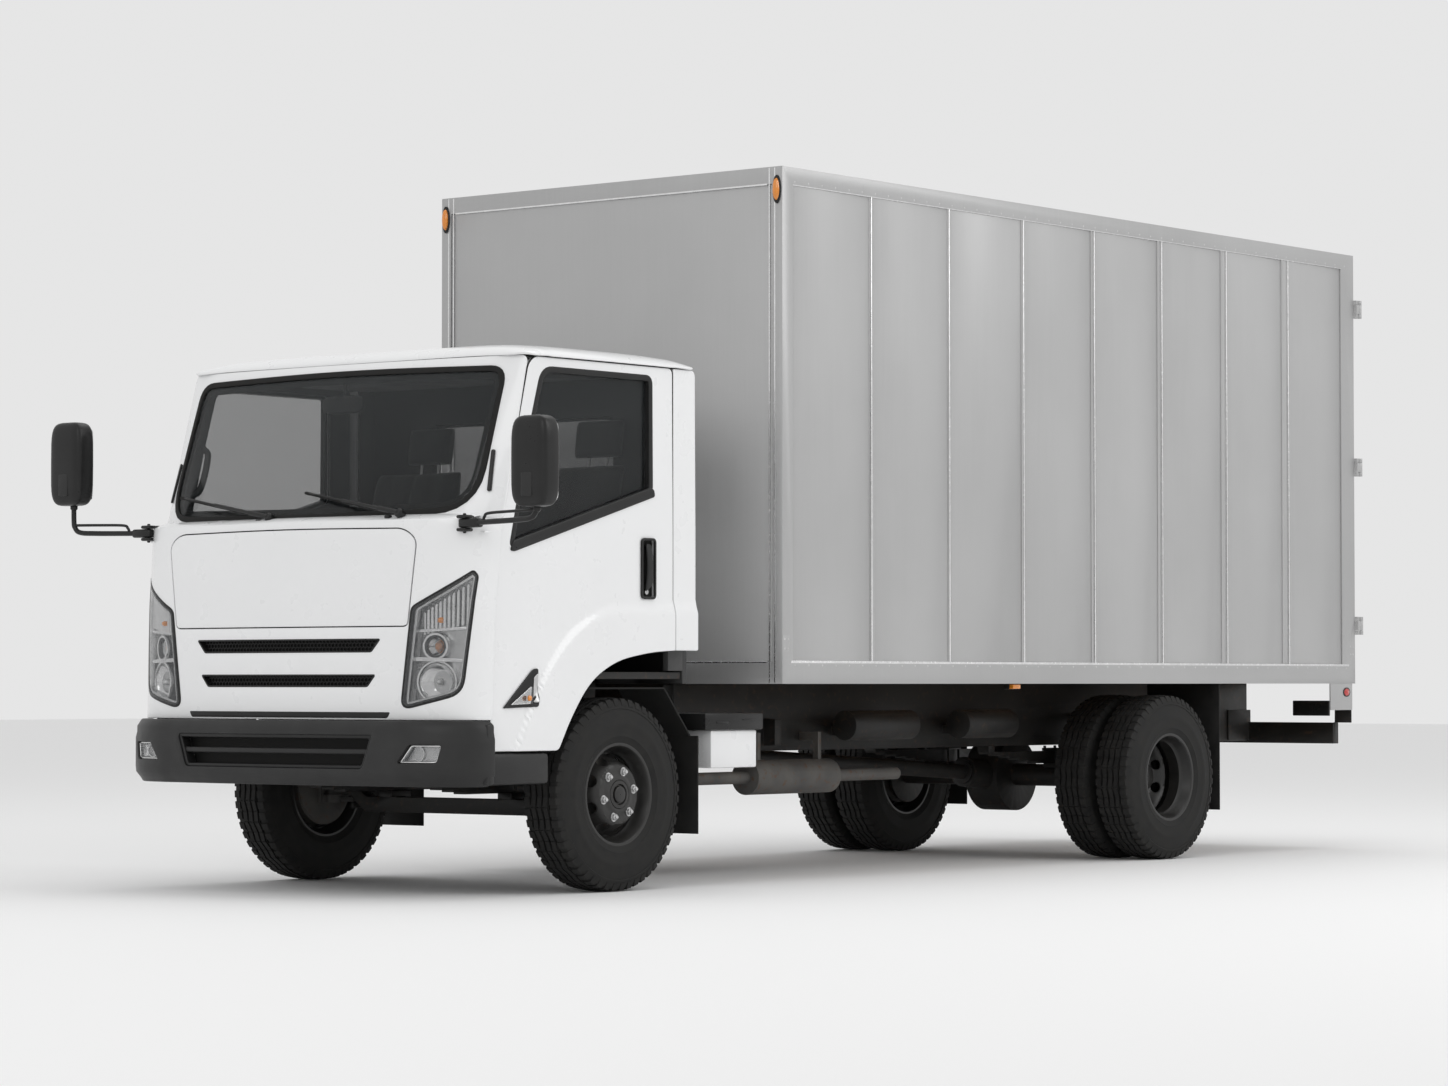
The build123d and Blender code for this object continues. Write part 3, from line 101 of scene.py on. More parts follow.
class Finish:
    """One material: its node tree, and short ways to add to it."""

    def __init__(self, name, **constants):
        self.material = bpy.data.materials.new(name)
        self.material.use_nodes = True
        self.tree = self.material.node_tree
        self.shader = self.tree.nodes["Principled BSDF"]
        for key, value in constants.items():
            self.shader.inputs[key.replace("_", " ")].default_value = value

    def feed(self, socket, value):
        if isinstance(value, Wire):
            self.tree.links.new(value.socket, socket)
        else:
            socket.default_value = value

    def node(self, kind, settings=None, inputs=None, output=0):
        made = self.tree.nodes.new(kind)
        for key, value in (settings or {}).items():
            if key == "stops":
                for index, (place, shade) in enumerate(value):
                    stop = made.color_ramp.elements[index] if index < 2 else made.color_ramp.elements.new(place)
                    stop.position = place
                    stop.color = (*shade, 1)
            else:
                setattr(made, key, value)
        for key, value in (inputs or {}).items():
            self.feed(made.inputs[key], value)
        return Wire(self, made.outputs[output])

    def place(self):
        return self.node("ShaderNodeTexCoord", output="Object")

    def noise(self, scale, detail=3.0, stretch=(1, 1, 1)):
        where = self.node("ShaderNodeMapping", None, {"Vector": self.place(), "Scale": stretch})
        return self.node("ShaderNodeTexNoise", None, {"Vector": where, "Scale": scale, "Detail": detail})

    def ramp(self, value, low, high, from_low=0.3, from_high=0.7):
        return self.node("ShaderNodeMapRange", None, {"Value": value, "From Min": from_low,
                                                      "From Max": from_high,
                                                      "To Min": low, "To Max": high})

    def blend(self, share, first, second):
        return self.node("ShaderNodeMix", {"data_type": "RGBA"}, {0: share, 6: first, 7: second}, output=2)

    def colour(self, value):
        self.feed(self.shader.inputs["Base Color"], value)

    def rough(self, value):
        self.feed(self.shader.inputs["Roughness"], value)

    def bump(self, height, strength, distance):
        lump = self.node("ShaderNodeBump", None, {"Height": height, "Strength": strength,
                                                  "Distance": distance})
        self.feed(self.shader.inputs["Normal"], lump)


def grey(value, alpha=1.0):
    """Neutral colour of one value."""
    return (value, value, value, alpha)


def cab_paint():
    finish = Finish("white_cab_paint", Coat_Weight=0.6, Coat_Roughness=0.04)
    dust = finish.noise(2.2, 5.0)
    finish.colour(finish.blend(finish.ramp(dust, 0.0, 1.0), (0.83, 0.835, 0.84, 1), (0.812, 0.817, 0.822,
                                                                                     1)))
    finish.rough(finish.ramp(finish.noise(9.0), 0.26, 0.34))
    finish.bump(finish.noise(260.0, 2.0), 0.04, 0.0004)
    return finish.material


def back_wall_paint():
    """White above the cab's lower edge, black underseal below it; the inside face is painted near-black as painted
    shade for the cabin.
    """
    finish = Finish("back_wall_paint", Roughness=0.4)
    place = finish.place()
    height = finish.node("ShaderNodeSeparateXYZ", None, {0: place}, output=2)
    along = finish.node("ShaderNodeSeparateXYZ", None, {0: place}, output=1)
    upper = finish.ramp(height, 0.0, 1.0, 0.998, 1.002)
    outside = finish.ramp(along, 0.0, 1.0, CAB_BACK - 0.004, CAB_BACK - 0.003)
    # Near-black below the lower edge is underseal; near-black on the inside face is painted shade standing in for the
    # dark cabin.
    finish.colour(finish.blend(upper * outside, grey(0.015), (0.82, 0.825, 0.83, 1)))
    finish.bump(finish.noise(200.0, 2.0), 0.06, 0.0004)
    return finish.material


def grained_plastic(name, shade, rough, grain=900.0, strength=0.35):
    finish = Finish(name, Specular_IOR_Level=0.3)
    finish.colour(finish.blend(finish.ramp(finish.noise(6.0), 0.0, 1.0), grey(shade), grey(shade * 1.35)))
    finish.rough(finish.ramp(finish.noise(14.0), rough - 0.05, rough + 0.06))
    finish.bump(finish.noise(grain, 2.0), strength, 0.0005)
    return finish.material


def rubber(name, shade=0.018):
    finish = Finish(name, Specular_IOR_Level=0.22)
    wear = finish.noise(18.0, 6.0)
    finish.colour(finish.blend(finish.ramp(wear, 0.0, 1.0), grey(shade), (shade * 1.9, shade * 1.85,
                                                                          shade * 1.75, 1)))
    finish.rough(finish.ramp(wear, 0.62, 0.82))
    finish.bump(finish.noise(420.0, 3.0), 0.25, 0.0006)
    return finish.material


def wall_aluminium(name, shade, rough):
    """Satin rolled sheet: faint upright rolling lines, clouding and a little handling wear."""
    finish = Finish(name, Metallic=0.35, Specular_IOR_Level=0.4)
    cloud = finish.noise(0.9, 4.0)
    lines = finish.noise(14.0, 4.0, (6.0, 6.0, 0.15))
    mask = finish.ramp(cloud, 0.0, 0.75) + finish.ramp(lines, 0.0, 0.25)
    finish.colour(finish.blend(mask, grey(shade), grey(shade * 1.14)))
    finish.rough(finish.ramp(lines, rough - 0.05, rough + 0.05))
    finish.bump(lines, 0.05, 0.0006)
    return finish.material


def painted_steel(name, shade, rough, rust=0.0):
    finish = Finish(name, Specular_IOR_Level=0.5 if rough < 0.3 else 0.3)
    grime = finish.noise(7.0, 7.0)
    dusty = finish.blend(finish.ramp(grime, 0.0, 1.0), grey(shade), (shade * 2.0, shade * 1.9, shade * 1.75,
                                                                     1))
    if rust:
        spots = finish.ramp(finish.noise(34.0, 8.0), 0.0, rust, 0.58, 0.72)
        dusty = finish.blend(spots, dusty, (0.11, 0.055, 0.03, 1))
    finish.colour(dusty)
    finish.rough(finish.ramp(grime, rough, rough + 0.18))
    finish.bump(finish.noise(160.0, 4.0), 0.12, 0.0008)
    return finish.material


def bright_metal(name, shade, rough):
    finish = Finish(name, Metallic=1.0)
    finish.colour(finish.blend(finish.ramp(finish.noise(30.0), 0.0, 1.0), grey(shade), grey(shade * 0.86)))
    finish.rough(finish.ramp(finish.noise(70.0), rough, rough + 0.07))
    return finish.material


def tinted_glass():
    finish = Finish("tinted_cab_glass_with_painted_reflection", Roughness=0.02, IOR=1.45, Alpha=0.30, Specular_IOR_Level=0.7)
    # Base colour lightens from 1.5 m up to 2.2 m: a painted reflection, the glass lighter towards its top; the dark
    # base itself is the tint.
    height = finish.node("ShaderNodeSeparateXYZ", None, {0: finish.place()}, output=2)
    finish.colour(finish.blend(finish.ramp(height, 0.0, 1.0, 1.5, 2.2), (0.012, 0.014, 0.015, 1), (0.035,
                                                                                                   0.04, 0.042, 1)))
    finish.material.surface_render_method = "BLENDED"
    return finish.material


def lens(name, colour, alpha, pitch=220.0):
    """Moulded lamp lens with fine optic ribs."""
    finish = Finish(name, Roughness=0.05, Coat_Weight=1.0, Coat_Roughness=0.02, Alpha=alpha)
    ribs = finish.noise(pitch, 0.0, (1.0, 1.0, 0.05))
    finish.colour(finish.blend(finish.ramp(ribs, 0.0, 1.0), colour,
                               tuple(0.8 * c for c in colour[:3]) + (1,)))
    finish.bump(ribs, 0.25, 0.001)
    finish.material.surface_render_method = "BLENDED"
    return finish.material


def woven_cloth(name, dark, light):
    finish = Finish(name, Sheen_Weight=0.3, Roughness=0.9)
    across = finish.node("ShaderNodeTexWave", {"bands_direction": "X"}, {"Vector": finish.place(),
                                                                         "Scale": 260.0})
    upward = finish.node("ShaderNodeTexWave", {"bands_direction": "Z"}, {"Vector": finish.place(),
                                                                         "Scale": 260.0})
    weave = finish.ramp(across + upward, 0.0, 1.0, 0.4, 1.6)
    finish.colour(finish.blend(weave, grey(dark), grey(light)))
    finish.bump(weave, 0.5, 0.0008)
    return finish.material


def sealed_wood():
    finish = Finish("cargo_floor_ply", Roughness=0.55)
    grain = finish.noise(9.0, 8.0, (1.0, 0.08, 1.0))
    finish.colour(finish.blend(finish.ramp(grain, 0.0, 1.0), (0.22, 0.13, 0.07, 1), (0.38, 0.25, 0.15, 1)))
    finish.bump(grain, 0.2, 0.001)
    return finish.material


WHITE = cab_paint()
BACK = back_wall_paint()
BUMPER = grained_plastic("black_bumper_plastic", 0.020, 0.42, 700.0, 0.3)
TRIM = grained_plastic("black_trim_plastic", 0.012, 0.32, 1200.0, 0.2)
INSIDE = grained_plastic("dark_cabin_plastic", 0.055, 0.55, 500.0, 0.3)
LINING = grained_plastic("pale_roof_lining", 0.22, 0.8, 300.0, 0.4)
SEAL = rubber("black_seal_rubber", 0.010)
TYRE = rubber("tyre_rubber", 0.013)
WHEEL = painted_steel("black_wheel_paint", 0.010, 0.28)
CHASSIS = painted_steel("black_chassis_paint", 0.012, 0.42, 0.25)
CAST = painted_steel("cast_iron_grey", 0.05, 0.6, 0.5)
SHEET = wall_aluminium("satin_wall_sheet", 0.43, 0.46)
RAIL = wall_aluminium("rail_extrusion", 0.40, 0.36)
STRIP = bright_metal("bright_joint_strip", 0.85, 0.22)
ZINC = bright_metal("zinc_plated_steel", 0.62, 0.32)
CHROME = bright_metal("lamp_chrome", 0.74, 0.08)
# Reflector bowls: rougher than chrome (satin), and darker in colour as painted shade inside the lamps.
BOWL = bright_metal("lamp_bowl_satin_and_painted_shade", 0.50, 0.20)
MIRROR = bright_metal("mirror_silvering", 0.9, 0.01)
EXHAUST = painted_steel("heat_dulled_steel", 0.06, 0.5, 0.8)
GLASS = tinted_glass()
CLEAR = lens("clear_lamp_lens", (0.30, 0.31, 0.32, 1), 0.14)
AMBER = lens("amber_lens", (0.85, 0.28, 0.02, 1), 0.95, 500.0)
RED = lens("red_lens", (0.55, 0.02, 0.015, 1), 0.95, 500.0)
CLOTH = woven_cloth("seat_weave", 0.02, 0.06)
PLY = sealed_wood()


# ------------------------------------------------------------------ mesh building
def finish_piece(name, mesh, body, finish, smooth=35.0):
    """Makes the object for a mesh, with its material and the body it moves with."""
    obj = bpy.data.objects.new(name, mesh)
    bpy.context.scene.collection.objects.link(obj)
    mesh.materials.append(finish)
    build = bmesh.new()
    build.from_mesh(mesh)
    bmesh.ops.remove_doubles(build, verts=build.verts, dist=1e-6)
    bmesh.ops.recalc_face_normals(build, faces=build.faces)
    limit = math.radians(smooth)
    for edge in build.edges:
        edge.smooth = len(edge.link_faces) == 2 and edge.calc_face_angle(0.0) < limit
    for face in build.faces:
        face.smooth = True
    build.to_mesh(mesh)
    build.free()
    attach(obj, body)
    return obj


def mesh_from(name, vertices, faces):
    mesh = bpy.data.meshes.new(name)
    mesh.from_pydata([tuple(v) for v in vertices], [], faces)
    mesh.validate()
    return mesh


def rounded(corners, radius, step=0.03):
    """Closed outline with rounded corners, as evenly spaced points. A corner may carry its own radius."""
    arcs = []
    count = len(corners)
    for index, corner in enumerate(corners):
        here = Vector(corner[:2])
        back = Vector(corners[index - 1][:2]) - here
        ahead = Vector(corners[(index + 1) % count][:2]) - here
        reach = corner[2] if len(corner) > 2 else radius
        reach = min(reach, back.length * 0.48, ahead.length * 0.48)
        start = here + back.normalized() * reach
        end = here + ahead.normalized() * reach
        for part in range(7):
            t = part / 6
            arcs.append(start * (1 - t) ** 2 + here * 2 * t * (1 - t) + end * t * t)
    points = []
    for index, point in enumerate(arcs):
        following = arcs[(index + 1) % len(arcs)]
        gap = (following - point).length
        if gap < 1e-6:
            continue
        pieces = max(1, math.ceil(gap / step))
        for part in range(pieces):
            points.append(point.lerp(following, part / pieces))
    area = sum(p.x * q.y - q.x * p.y for p, q in zip(points, points[1:] + points[:1]))
    return points if area > 0 else points[::-1]


def spot(x, y, z):
    """A place whose second number counts from the front axle."""
    return Vector((x, FRONT_AXLE + y, z))


def oval(x, y, half_width, half_height, count=28):
    """Closed ellipse as points."""
    turn = 2 * math.pi / count
    return [Vector((x + half_width * math.cos(turn * k),
                    y + half_height * math.sin(turn * k))) for k in range(count)]


def outward(loop):
    """Unit normals of a loop that runs anticlockwise, pointing out of it."""
    normals = []
    for index in range(len(loop)):
        along = loop[(index + 1) % len(loop)] - loop[index - 1]
        normals.append(Vector((along.y, -along.x)).normalized())
    return normals


def inside(points, loop):
    """Which points lie in a closed outline."""
    x, y = points[:, 0], points[:, 1]
    found = np.zeros(len(points), bool)
    for p, q in zip(loop, loop[1:] + loop[:1]):
        crosses = (p.y > y) != (q.y > y)
        rise = q.y - p.y
        at = p.x + (y - p.y) * (q.x - p.x) / (rise if abs(rise) > 1e-12 else 1e-12)
        found ^= crosses & (x < at)
    return found


def sheet_mesh(name, outline, place, thickness, holes=(), step=0.035, edge=0.003):
    """Closed sheet in the plane's two directions, with rounded edges, put in space by place(a, b, depth)."""
    loops = [(outline, -1.0)] + [(hole, 1.0) for hole in holes]
    flat, spans = [], []
    for loop, side in loops:
        normals = outward(loop)
        spans.append((len(flat), len(loop), loop, [n * side for n in normals]))
        flat += [point + normal * side * edge for point, normal in zip(loop, normals)]
    rims = np.array([(p.x, p.y) for p in flat])
    low, high = rims.min(0), rims.max(0)
    grid = np.array([(a, b) for a in np.arange(low[0] + step / 2, high[0], step)
                     for b in np.arange(low[1] + step / 2, high[1], step)]).reshape(-1, 2)
    keep = inside(grid, outline)
    for hole in holes:
        keep &= ~inside(grid, hole)
    grid = grid[keep]
    if len(grid):
        clear = np.array([np.min(np.hypot(*(rims - g).T)) > step * 0.45 for g in grid], bool)
        grid = grid[clear]
    points = flat + [Vector(g) for g in grid]
    edges = [(first + k, first + (k + 1) % count) for first, count, _, _ in spans for k in range(count)]
    found = delaunay_2d_cdt(points, edges, [], 0, 1e-7, True)
    vertices, faces, sources = found[0], found[2], found[3]
    middles = np.array([[sum(vertices[i][k] for i in face) / len(face) for k in (0, 1)] for face in faces])
    ring_loops = [[flat[first + k] for k in range(count)] for first, count, _, _ in spans]
    wanted = inside(middles, ring_loops[0])
    for ring in ring_loops[1:]:
        wanted &= ~inside(middles, ring)
    faces = [face for face, want in zip(faces, wanted) if want]
    index_of = {}
    for index, given in enumerate(sources):
        for source in given:
            index_of[source] = index
    total = len(vertices)
    made = [place(v.x, v.y, 0.0) for v in vertices] + [place(v.x, v.y, thickness) for v in vertices]
    skins = [tuple(face) for face in faces] + [tuple(total + i for i in reversed(face)) for face in faces]
    for first, count, loop, normals in spans:
        rows = [[index_of[first + k] for k in range(count)]]
        for turn in (30, 60, 90):
            lift = edge * math.cos(math.radians(turn)) if turn < 90 else 0.0
            out = math.sin(math.radians(turn))
            row = []
            for point, normal in zip(loop, normals):
                at = point + normal * edge * (1 - out)
                row.append(len(made))
                made.append(place(at.x, at.y, edge - lift))
            rows.append(row)
        rows.append([total + index_of[first + k] for k in range(count)])
        for upper, lower in zip(rows, rows[1:]):
            for k in range(count):
                following = (k + 1) % count
                skins.append((upper[k], upper[following], lower[following], lower[k]))
    return mesh_from(name, made, skins)


def panel(name, body, finish, outline, place, thickness, holes=(), step=0.035, edge=0.003):
    return finish_piece(name, sheet_mesh(name, outline, place, thickness, holes, step, edge), body, finish)


def frame_ring(outline, width):
    """An outline and the one a fixed width inside it."""
    return [point - normal * width for point, normal in zip(outline, outward(outline))]


def quads(rows, size, closed=False):
    """Faces between neighbouring rows of points, each row closed on itself."""
    faces = []
    for row in range(rows if closed else rows - 1):
        first, second = row * size, (row + 1) % rows * size
        for k in range(size):
            j = (k + 1) % size
            faces.append((first + k, first + j, second + j, second + k))
    return faces


def capped(rows, size):
    """Faces of a closed skin: the sides between rows of points, and both ends."""
    last = (rows - 1) * size
    return quads(rows, size) + [tuple(range(size))[::-1], tuple(last + k for k in range(size))]


def lathe(profile, centre, direction=1, count=96):
    """Closed ring of (along, radius) points turned about a line along X through centre."""
    vertices = []
    for k in range(count):
        angle = 2 * math.pi * k / count
        for along, radius in profile:
            vertices.append((centre[0] + direction * along, centre[1] + radius * math.cos(angle),
                             centre[2] + radius * math.sin(angle)))
    return vertices, quads(count, len(profile), True)


def gather(parts):
    """Several (vertices, faces) joined in one list."""
    vertices, faces = [], []
    for more, skins in parts:
        shift = len(vertices)
        vertices += [tuple(v) for v in more]
        faces += [tuple(shift + i for i in face) for face in skins]
    return vertices, faces


def brick(low, high, bevel=0.004, turn=None):
    """Box between two corners with its edges rounded off, as (vertices, faces)."""
    build = bmesh.new()
    bmesh.ops.create_cube(build, size=1.0)
    low, high = Vector(low), Vector(high)
    size = Vector([abs(b - a) for a, b in zip(low, high)])
    middle = (low + high) / 2
    for vertex in build.verts:
        vertex.co = Vector([c * s for c, s in zip(vertex.co, size)]) + middle
    bevel = min(bevel, min(size) * 0.45)
    bmesh.ops.bevel(build, geom=build.edges[:], offset=bevel, segments=2, profile=0.5, affect="EDGES")
    found = [tuple(v.co) if turn is None else tuple(turn(v.co)) for v in build.verts]
    build.verts.index_update()
    faces = [tuple(v.index for v in face.verts) for face in build.faces]
    build.free()
    return found, faces


def bar(start, end, radius, count=16, cap=0.35):
    """Round bar with softened ends, as (vertices, faces)."""
    start, end = Vector(start), Vector(end)
    along = (end - start).normalized()
    side = along.orthogonal().normalized()
    other = along.cross(side)
    rows = [(start, 1 - cap), (start + along * radius * cap, 1), (end - along * radius * cap, 1), (end,
                                                                                                   1 - cap)]
    vertices = []
    for point, share in rows:
        for k in range(count):
            angle = 2 * math.pi * k / count
            vertices.append(point + (side * math.cos(angle) + other * math.sin(angle)) * radius * share)
    return vertices, capped(len(rows), count)


def tube(points, radius, count=14, steps=8):
    """Round tube along a smooth line through points, as (vertices, faces)."""
    path = [Vector(p) for p in points]
    ends = [path[0] * 2 - path[1]] + path + [path[-1] * 2 - path[-2]]
    line = []
    for k in range(1, len(ends) - 2):
        a, b, c, d = ends[k - 1:k + 3]
        for part in range(steps):
            t = part / steps
            line.append(0.5 * ((2 * b) + (c - a) * t + (2 * a - 5 * b + 4 * c - d) * t * t
                               + (3 * b - a - 3 * c + d) * t ** 3))
    line.append(path[-1])
    vertices = []
    side = (line[1] - line[0]).orthogonal().normalized()
    for k, point in enumerate(line):
        along = (line[min(k + 1, len(line) - 1)] - line[max(k - 1, 0)]).normalized()
        side = (side - along * side.dot(along)).normalized()
        other = along.cross(side)
        for j in range(count):
            angle = 2 * math.pi * j / count
            vertices.append(point + (side * math.cos(angle) + other * math.sin(angle)) * radius)
    return vertices, capped(len(line), count)


def solid(name, body, finish, parts, smooth=35.0):
    """Object made of several (vertices, faces) shapes."""
    vertices, faces = gather(parts)
    return finish_piece(name, mesh_from(name, vertices, faces), body, finish, smooth)


# ------------------------------------------------------------------ surfaces of the cab
FRONT_MIDDLE = FRONT_AXLE - 1.030
FLAT_HALF = 0.620
CORNER_SIDE = 0.348
CORNER_SPAN = 0.42
BOW = 0.028
SILL_TOP = 1.521
SCREEN_FOOT = 1.535
SCREEN_HEAD = 2.192
ROOF_EDGE = 2.190
SIDE_X = 0.970


def wrap(x, corner=CORNER_SIDE):
    """Distance along the front's plan curve for a place given across the cab."""
    if abs(x) <= FLAT_HALF:
        return x
    share = min(1.0, (abs(x) - FLAT_HALF) / corner)
    return math.copysign(FLAT_HALF + CORNER_SPAN * math.asin(share) / (math.pi / 2), x)


def wrapped(points, sign=1, corner=CORNER_SIDE):
    return [(wrap(sign * p[0], corner), *p[1:]) for p in points]


def front_place(extra=0.0, corner=CORNER_SIDE, depth_to_corner=None, shift=None):
    """Puts a sheet on the cab's curved front: distance along the curve, height, depth."""
    def place(a, z, depth):
        side = math.copysign(1.0, a)
        flat = min(abs(a), FLAT_HALF)
        if abs(a) <= FLAT_HALF:
            x, y = abs(a), FRONT_MIDDLE - extra + BOW * (flat / FLAT_HALF) ** 2
            normal = Vector((2 * BOW * abs(a) / FLAT_HALF ** 2, -1.0)).normalized()
        else:
            turn = (abs(a) - FLAT_HALF) / CORNER_SPAN * math.pi / 2
            reach = (depth_to_corner or door_edge(z) - 0.005 - FRONT_MIDDLE - BOW) + extra
            x = FLAT_HALF + corner * math.sin(turn)
            y = FRONT_MIDDLE - extra + BOW + reach * (1 - math.cos(turn))
            share = min(1.0, turn / 0.6)
            normal = Vector((reach * math.sin(turn) + 0.09 * corner * (1 - share),
                             -corner * math.cos(turn))).normalized()
        depth += shift(z) if shift else 0.0
        return Vector((side * (x - normal.x * depth), y - normal.y * depth, z))
    return place


def door_edge(z):
    """Front edge of the door at a height."""
    if z < 1.196:
        return FRONT_AXLE - 0.834 + 0.028 * (z - 0.590) / 0.606
    if z < 1.480:
        return FRONT_AXLE - 0.806 + 0.035 * (z - 1.196) / 0.284
    return FRONT_AXLE - 0.771 + 0.171 * (z - 1.480) / 0.675


def screen_place(x, z, depth):
    """Puts a sheet on the windscreen's swept surface, out to the door's edge."""
    middle = FRONT_AXLE - 0.955 + 0.287 * (z - 1.545) / 0.645
    edge = door_edge(z) - 0.006
    share = abs(x) / 0.966
    y = middle + (edge - middle) * (0.55 * share ** 2 + 0.45 * share ** 10)
    return Vector((x * (1 - depth * 0.3), y + depth * 0.914, z - depth * 0.407))


def smooth_step(value, low, high):
    """Eased share of the way from low to high, from 0 to 1."""
    share = min(1.0, max(0.0, (value - low) / (high - low)))
    return share * share * (3 - 2 * share)


def crease(y):
    """Height of the pressed line over the wheel arch."""
    along = y - FRONT_AXLE
    if along > 0.0:
        return 1.163 + 0.010 * smooth_step(along, 0.0, 0.4)
    return 1.163 - 0.95 * along * along - 0.9 * max(0.0, -along - 0.30) ** 2


def side_skin(y, z):
    """How far the cab's side lies inside its widest plane: flared below the pressed line, tucked in at the edges."""
    above = smooth_step(z - crease(y), -0.006, 0.030)
    belly = 0.004 * smooth_step(z, 1.4, 2.19)
    return 0.015 * above + belly


def side_place(sign, base=SIDE_X):
    def place(y, z, depth):
        return Vector((sign * (base - side_skin(y, z) - depth), y, z))
    return place


def flat_side(sign, x):
    def place(y, z, depth):
        return Vector((sign * (x - depth), y, z))
    return place


def from_axle(points):
    """Points whose first number counts from the front axle."""
    return [(FRONT_AXLE + p[0], *p[1:]) for p in points]


# ------------------------------------------------------------------ cab front
PANEL_HOLE = [(-0.660, 1.092, 0.02), (0.660, 1.092, 0.02), (0.704, 1.440, 0.05), (0.640, 1.484, 0.08), (0.0,
                                                                                                        1.492, 0.5),
              (-0.640, 1.484, 0.08), (-0.704, 1.440, 0.05)]
LAMP = [(0.628, 0.755, 0.05), (0.682, 1.168, 0.02), (0.925, 1.315, 0.015), (0.938, 1.290, 0.01), (0.900,
                                                                                                  0.822, 0.06)]
FOG = [(0.683, 0.545, 0.01), (0.740, 0.618, 0.01), (0.868, 0.618, 0.015), (0.850, 0.545, 0.015)]
SLOTS = ((0.990, 1.040, 0.520, 0.045), (0.850, 0.896, 0.495, 0.040))
CORNER = FLAT_HALF + CORNER_SPAN
SKIN_GAP = 0.002


def slot_outline(low, high, half, taper, grow=0.0):
    """Outline of a grille slot, narrower at its foot."""
    return rounded([(-half - grow, high + grow), (-half + taper - grow, low - grow), (half - taper + grow,
                                                                                      low - grow),
                    (half + grow, high + grow)], 0.008)


def honeycomb(outline, pitch, wall, depth, place):
    """Pressed mesh with hexagonal openings, cut to the cells that reach into an outline."""
    size = pitch / math.sqrt(3)
    low = Vector((min(p.x for p in outline), min(p.y for p in outline)))
    high = Vector((max(p.x for p in outline), max(p.y for p in outline)))
    vertices, faces = [], []
    columns = int((high.x - low.x) / pitch) + 2
    rows = int((high.y - low.y) / (size * 1.5)) + 2
    for row in range(rows):
        for column in range(columns):
            middle = low + Vector(((column + 0.5 * (row % 2)) * pitch, row * size * 1.5))
            if not inside(np.array([middle]), outline)[0]:
                continue
            first = len(vertices)
            for reach, back in ((size, 0.0), (size - wall, 0.0), (size - wall, depth), (size, depth)):
                for k in range(6):
                    turn = math.radians(30 + 60 * k)
                    vertices.append(place(middle.x + reach * math.cos(turn),
                                          middle.y + reach * math.sin(turn), back))
            for ring in range(4):
                for k in range(6):
                    j = (k + 1) % 6
                    following = (ring + 1) % 4
                    faces.append((first + ring * 6 + k, first + ring * 6 + j, first + following * 6 + j,
                                  first + following * 6 + k))
    return vertices, faces


def cab_front():
    """White front skin with its openings, the flap, the grille meshes and the cowl."""
    place = front_place()
    outline = rounded([(-CORNER + SKIN_GAP, 0.716, 0.012), (CORNER - SKIN_GAP, 0.716, 0.012), (CORNER,
                                                                                               SILL_TOP, 0.03),
                       (-CORNER, SILL_TOP, 0.03)], 0.02)
    flap = rounded(wrapped(PANEL_HOLE), 0.03)
    holes = [frame_ring(flap, -0.003)]
    holes += [slot_outline(*slot) for slot in SLOTS]
    holes += [rounded(wrapped(LAMP, sign), 0.03) for _, sign in SIDES]
    skin = panel("front_skin", "cab", WHITE, outline, place, 0.020, holes)
    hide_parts("cab_front_panel")
    cover = panel("front_flap", "service_panel", WHITE, frame_ring(flap, 0.0015), place, 0.020)
    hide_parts("service_panel")
    for index, slot in enumerate(SLOTS):
        opening = slot_outline(*slot)
        backing = front_place(-0.018)
        cells = honeycomb(slot_outline(*slot, grow=0.006), 0.019, 0.0016, 0.006, backing)
        solid(f"grille_mesh_{index + 1}", "cab", TRIM, [cells])
        panel(f"grille_backing_{index + 1}", "cab", SEAL, slot_outline(*slot, grow=0.012),
              front_place(-0.045), 0.004)
        panel(f"grille_lip_{index + 1}", "cab", TRIM, frame_ring(opening, -0.003), front_place(0.0015),
              0.022,
              [frame_ring(opening, 0.004)], 0.05, 0.0012)
    lower = rounded([(-0.560, 0.722), (0.560, 0.722), (0.575, 0.748), (-0.575, 0.748)], 0.01)
    panel("lower_intake", "cab", TRIM, lower, front_place(0.0012), 0.004)
    cowl = rounded([(-0.898, 0.0, 0.02), (0.898, 0.0, 0.02), (0.898, 1.0, 0.02), (-0.898, 1.0, 0.02)], 0.02)

    def cowl_place(a, share, depth):
        share = min(1.0, max(0.0, share))
        low = place(wrap(a), SILL_TOP - 0.004, 0.002)
        top = screen_place(a, SCREEN_FOOT + 0.010, 0.004)
        rise = math.sin(share * math.pi / 2)
        return Vector((a, low.y + (top.y - low.y) * (1 - math.cos(share * math.pi / 2)) * 0.35
                       + (top.y - low.y) * share * 0.65, low.z + (top.z - low.z) * rise - depth))
    panel("cowl", "cab", WHITE, cowl, cowl_place, 0.012, step=0.06, edge=0.01)
    lugs = [brick(spot(sign * 0.415, -0.830, 0.570), spot(sign * 0.455, -0.770, 0.880)) for _,
            sign in SIDES]
    solid("tilt_lugs", "cab", CHASSIS, lugs)
    caps = [brick(spot(sign * 0.896, -0.870, 1.462), spot(sign * 0.958, -0.778, 1.472)) for _,
            sign in SIDES]
    solid("cowl_corners", "cab", WHITE, caps)
    seal = front_place(-0.021)
    panel("flap_seal", "cab", SEAL, frame_ring(flap, -0.008), seal, 0.005, [frame_ring(flap, 0.008)], 0.06,
          0.001)


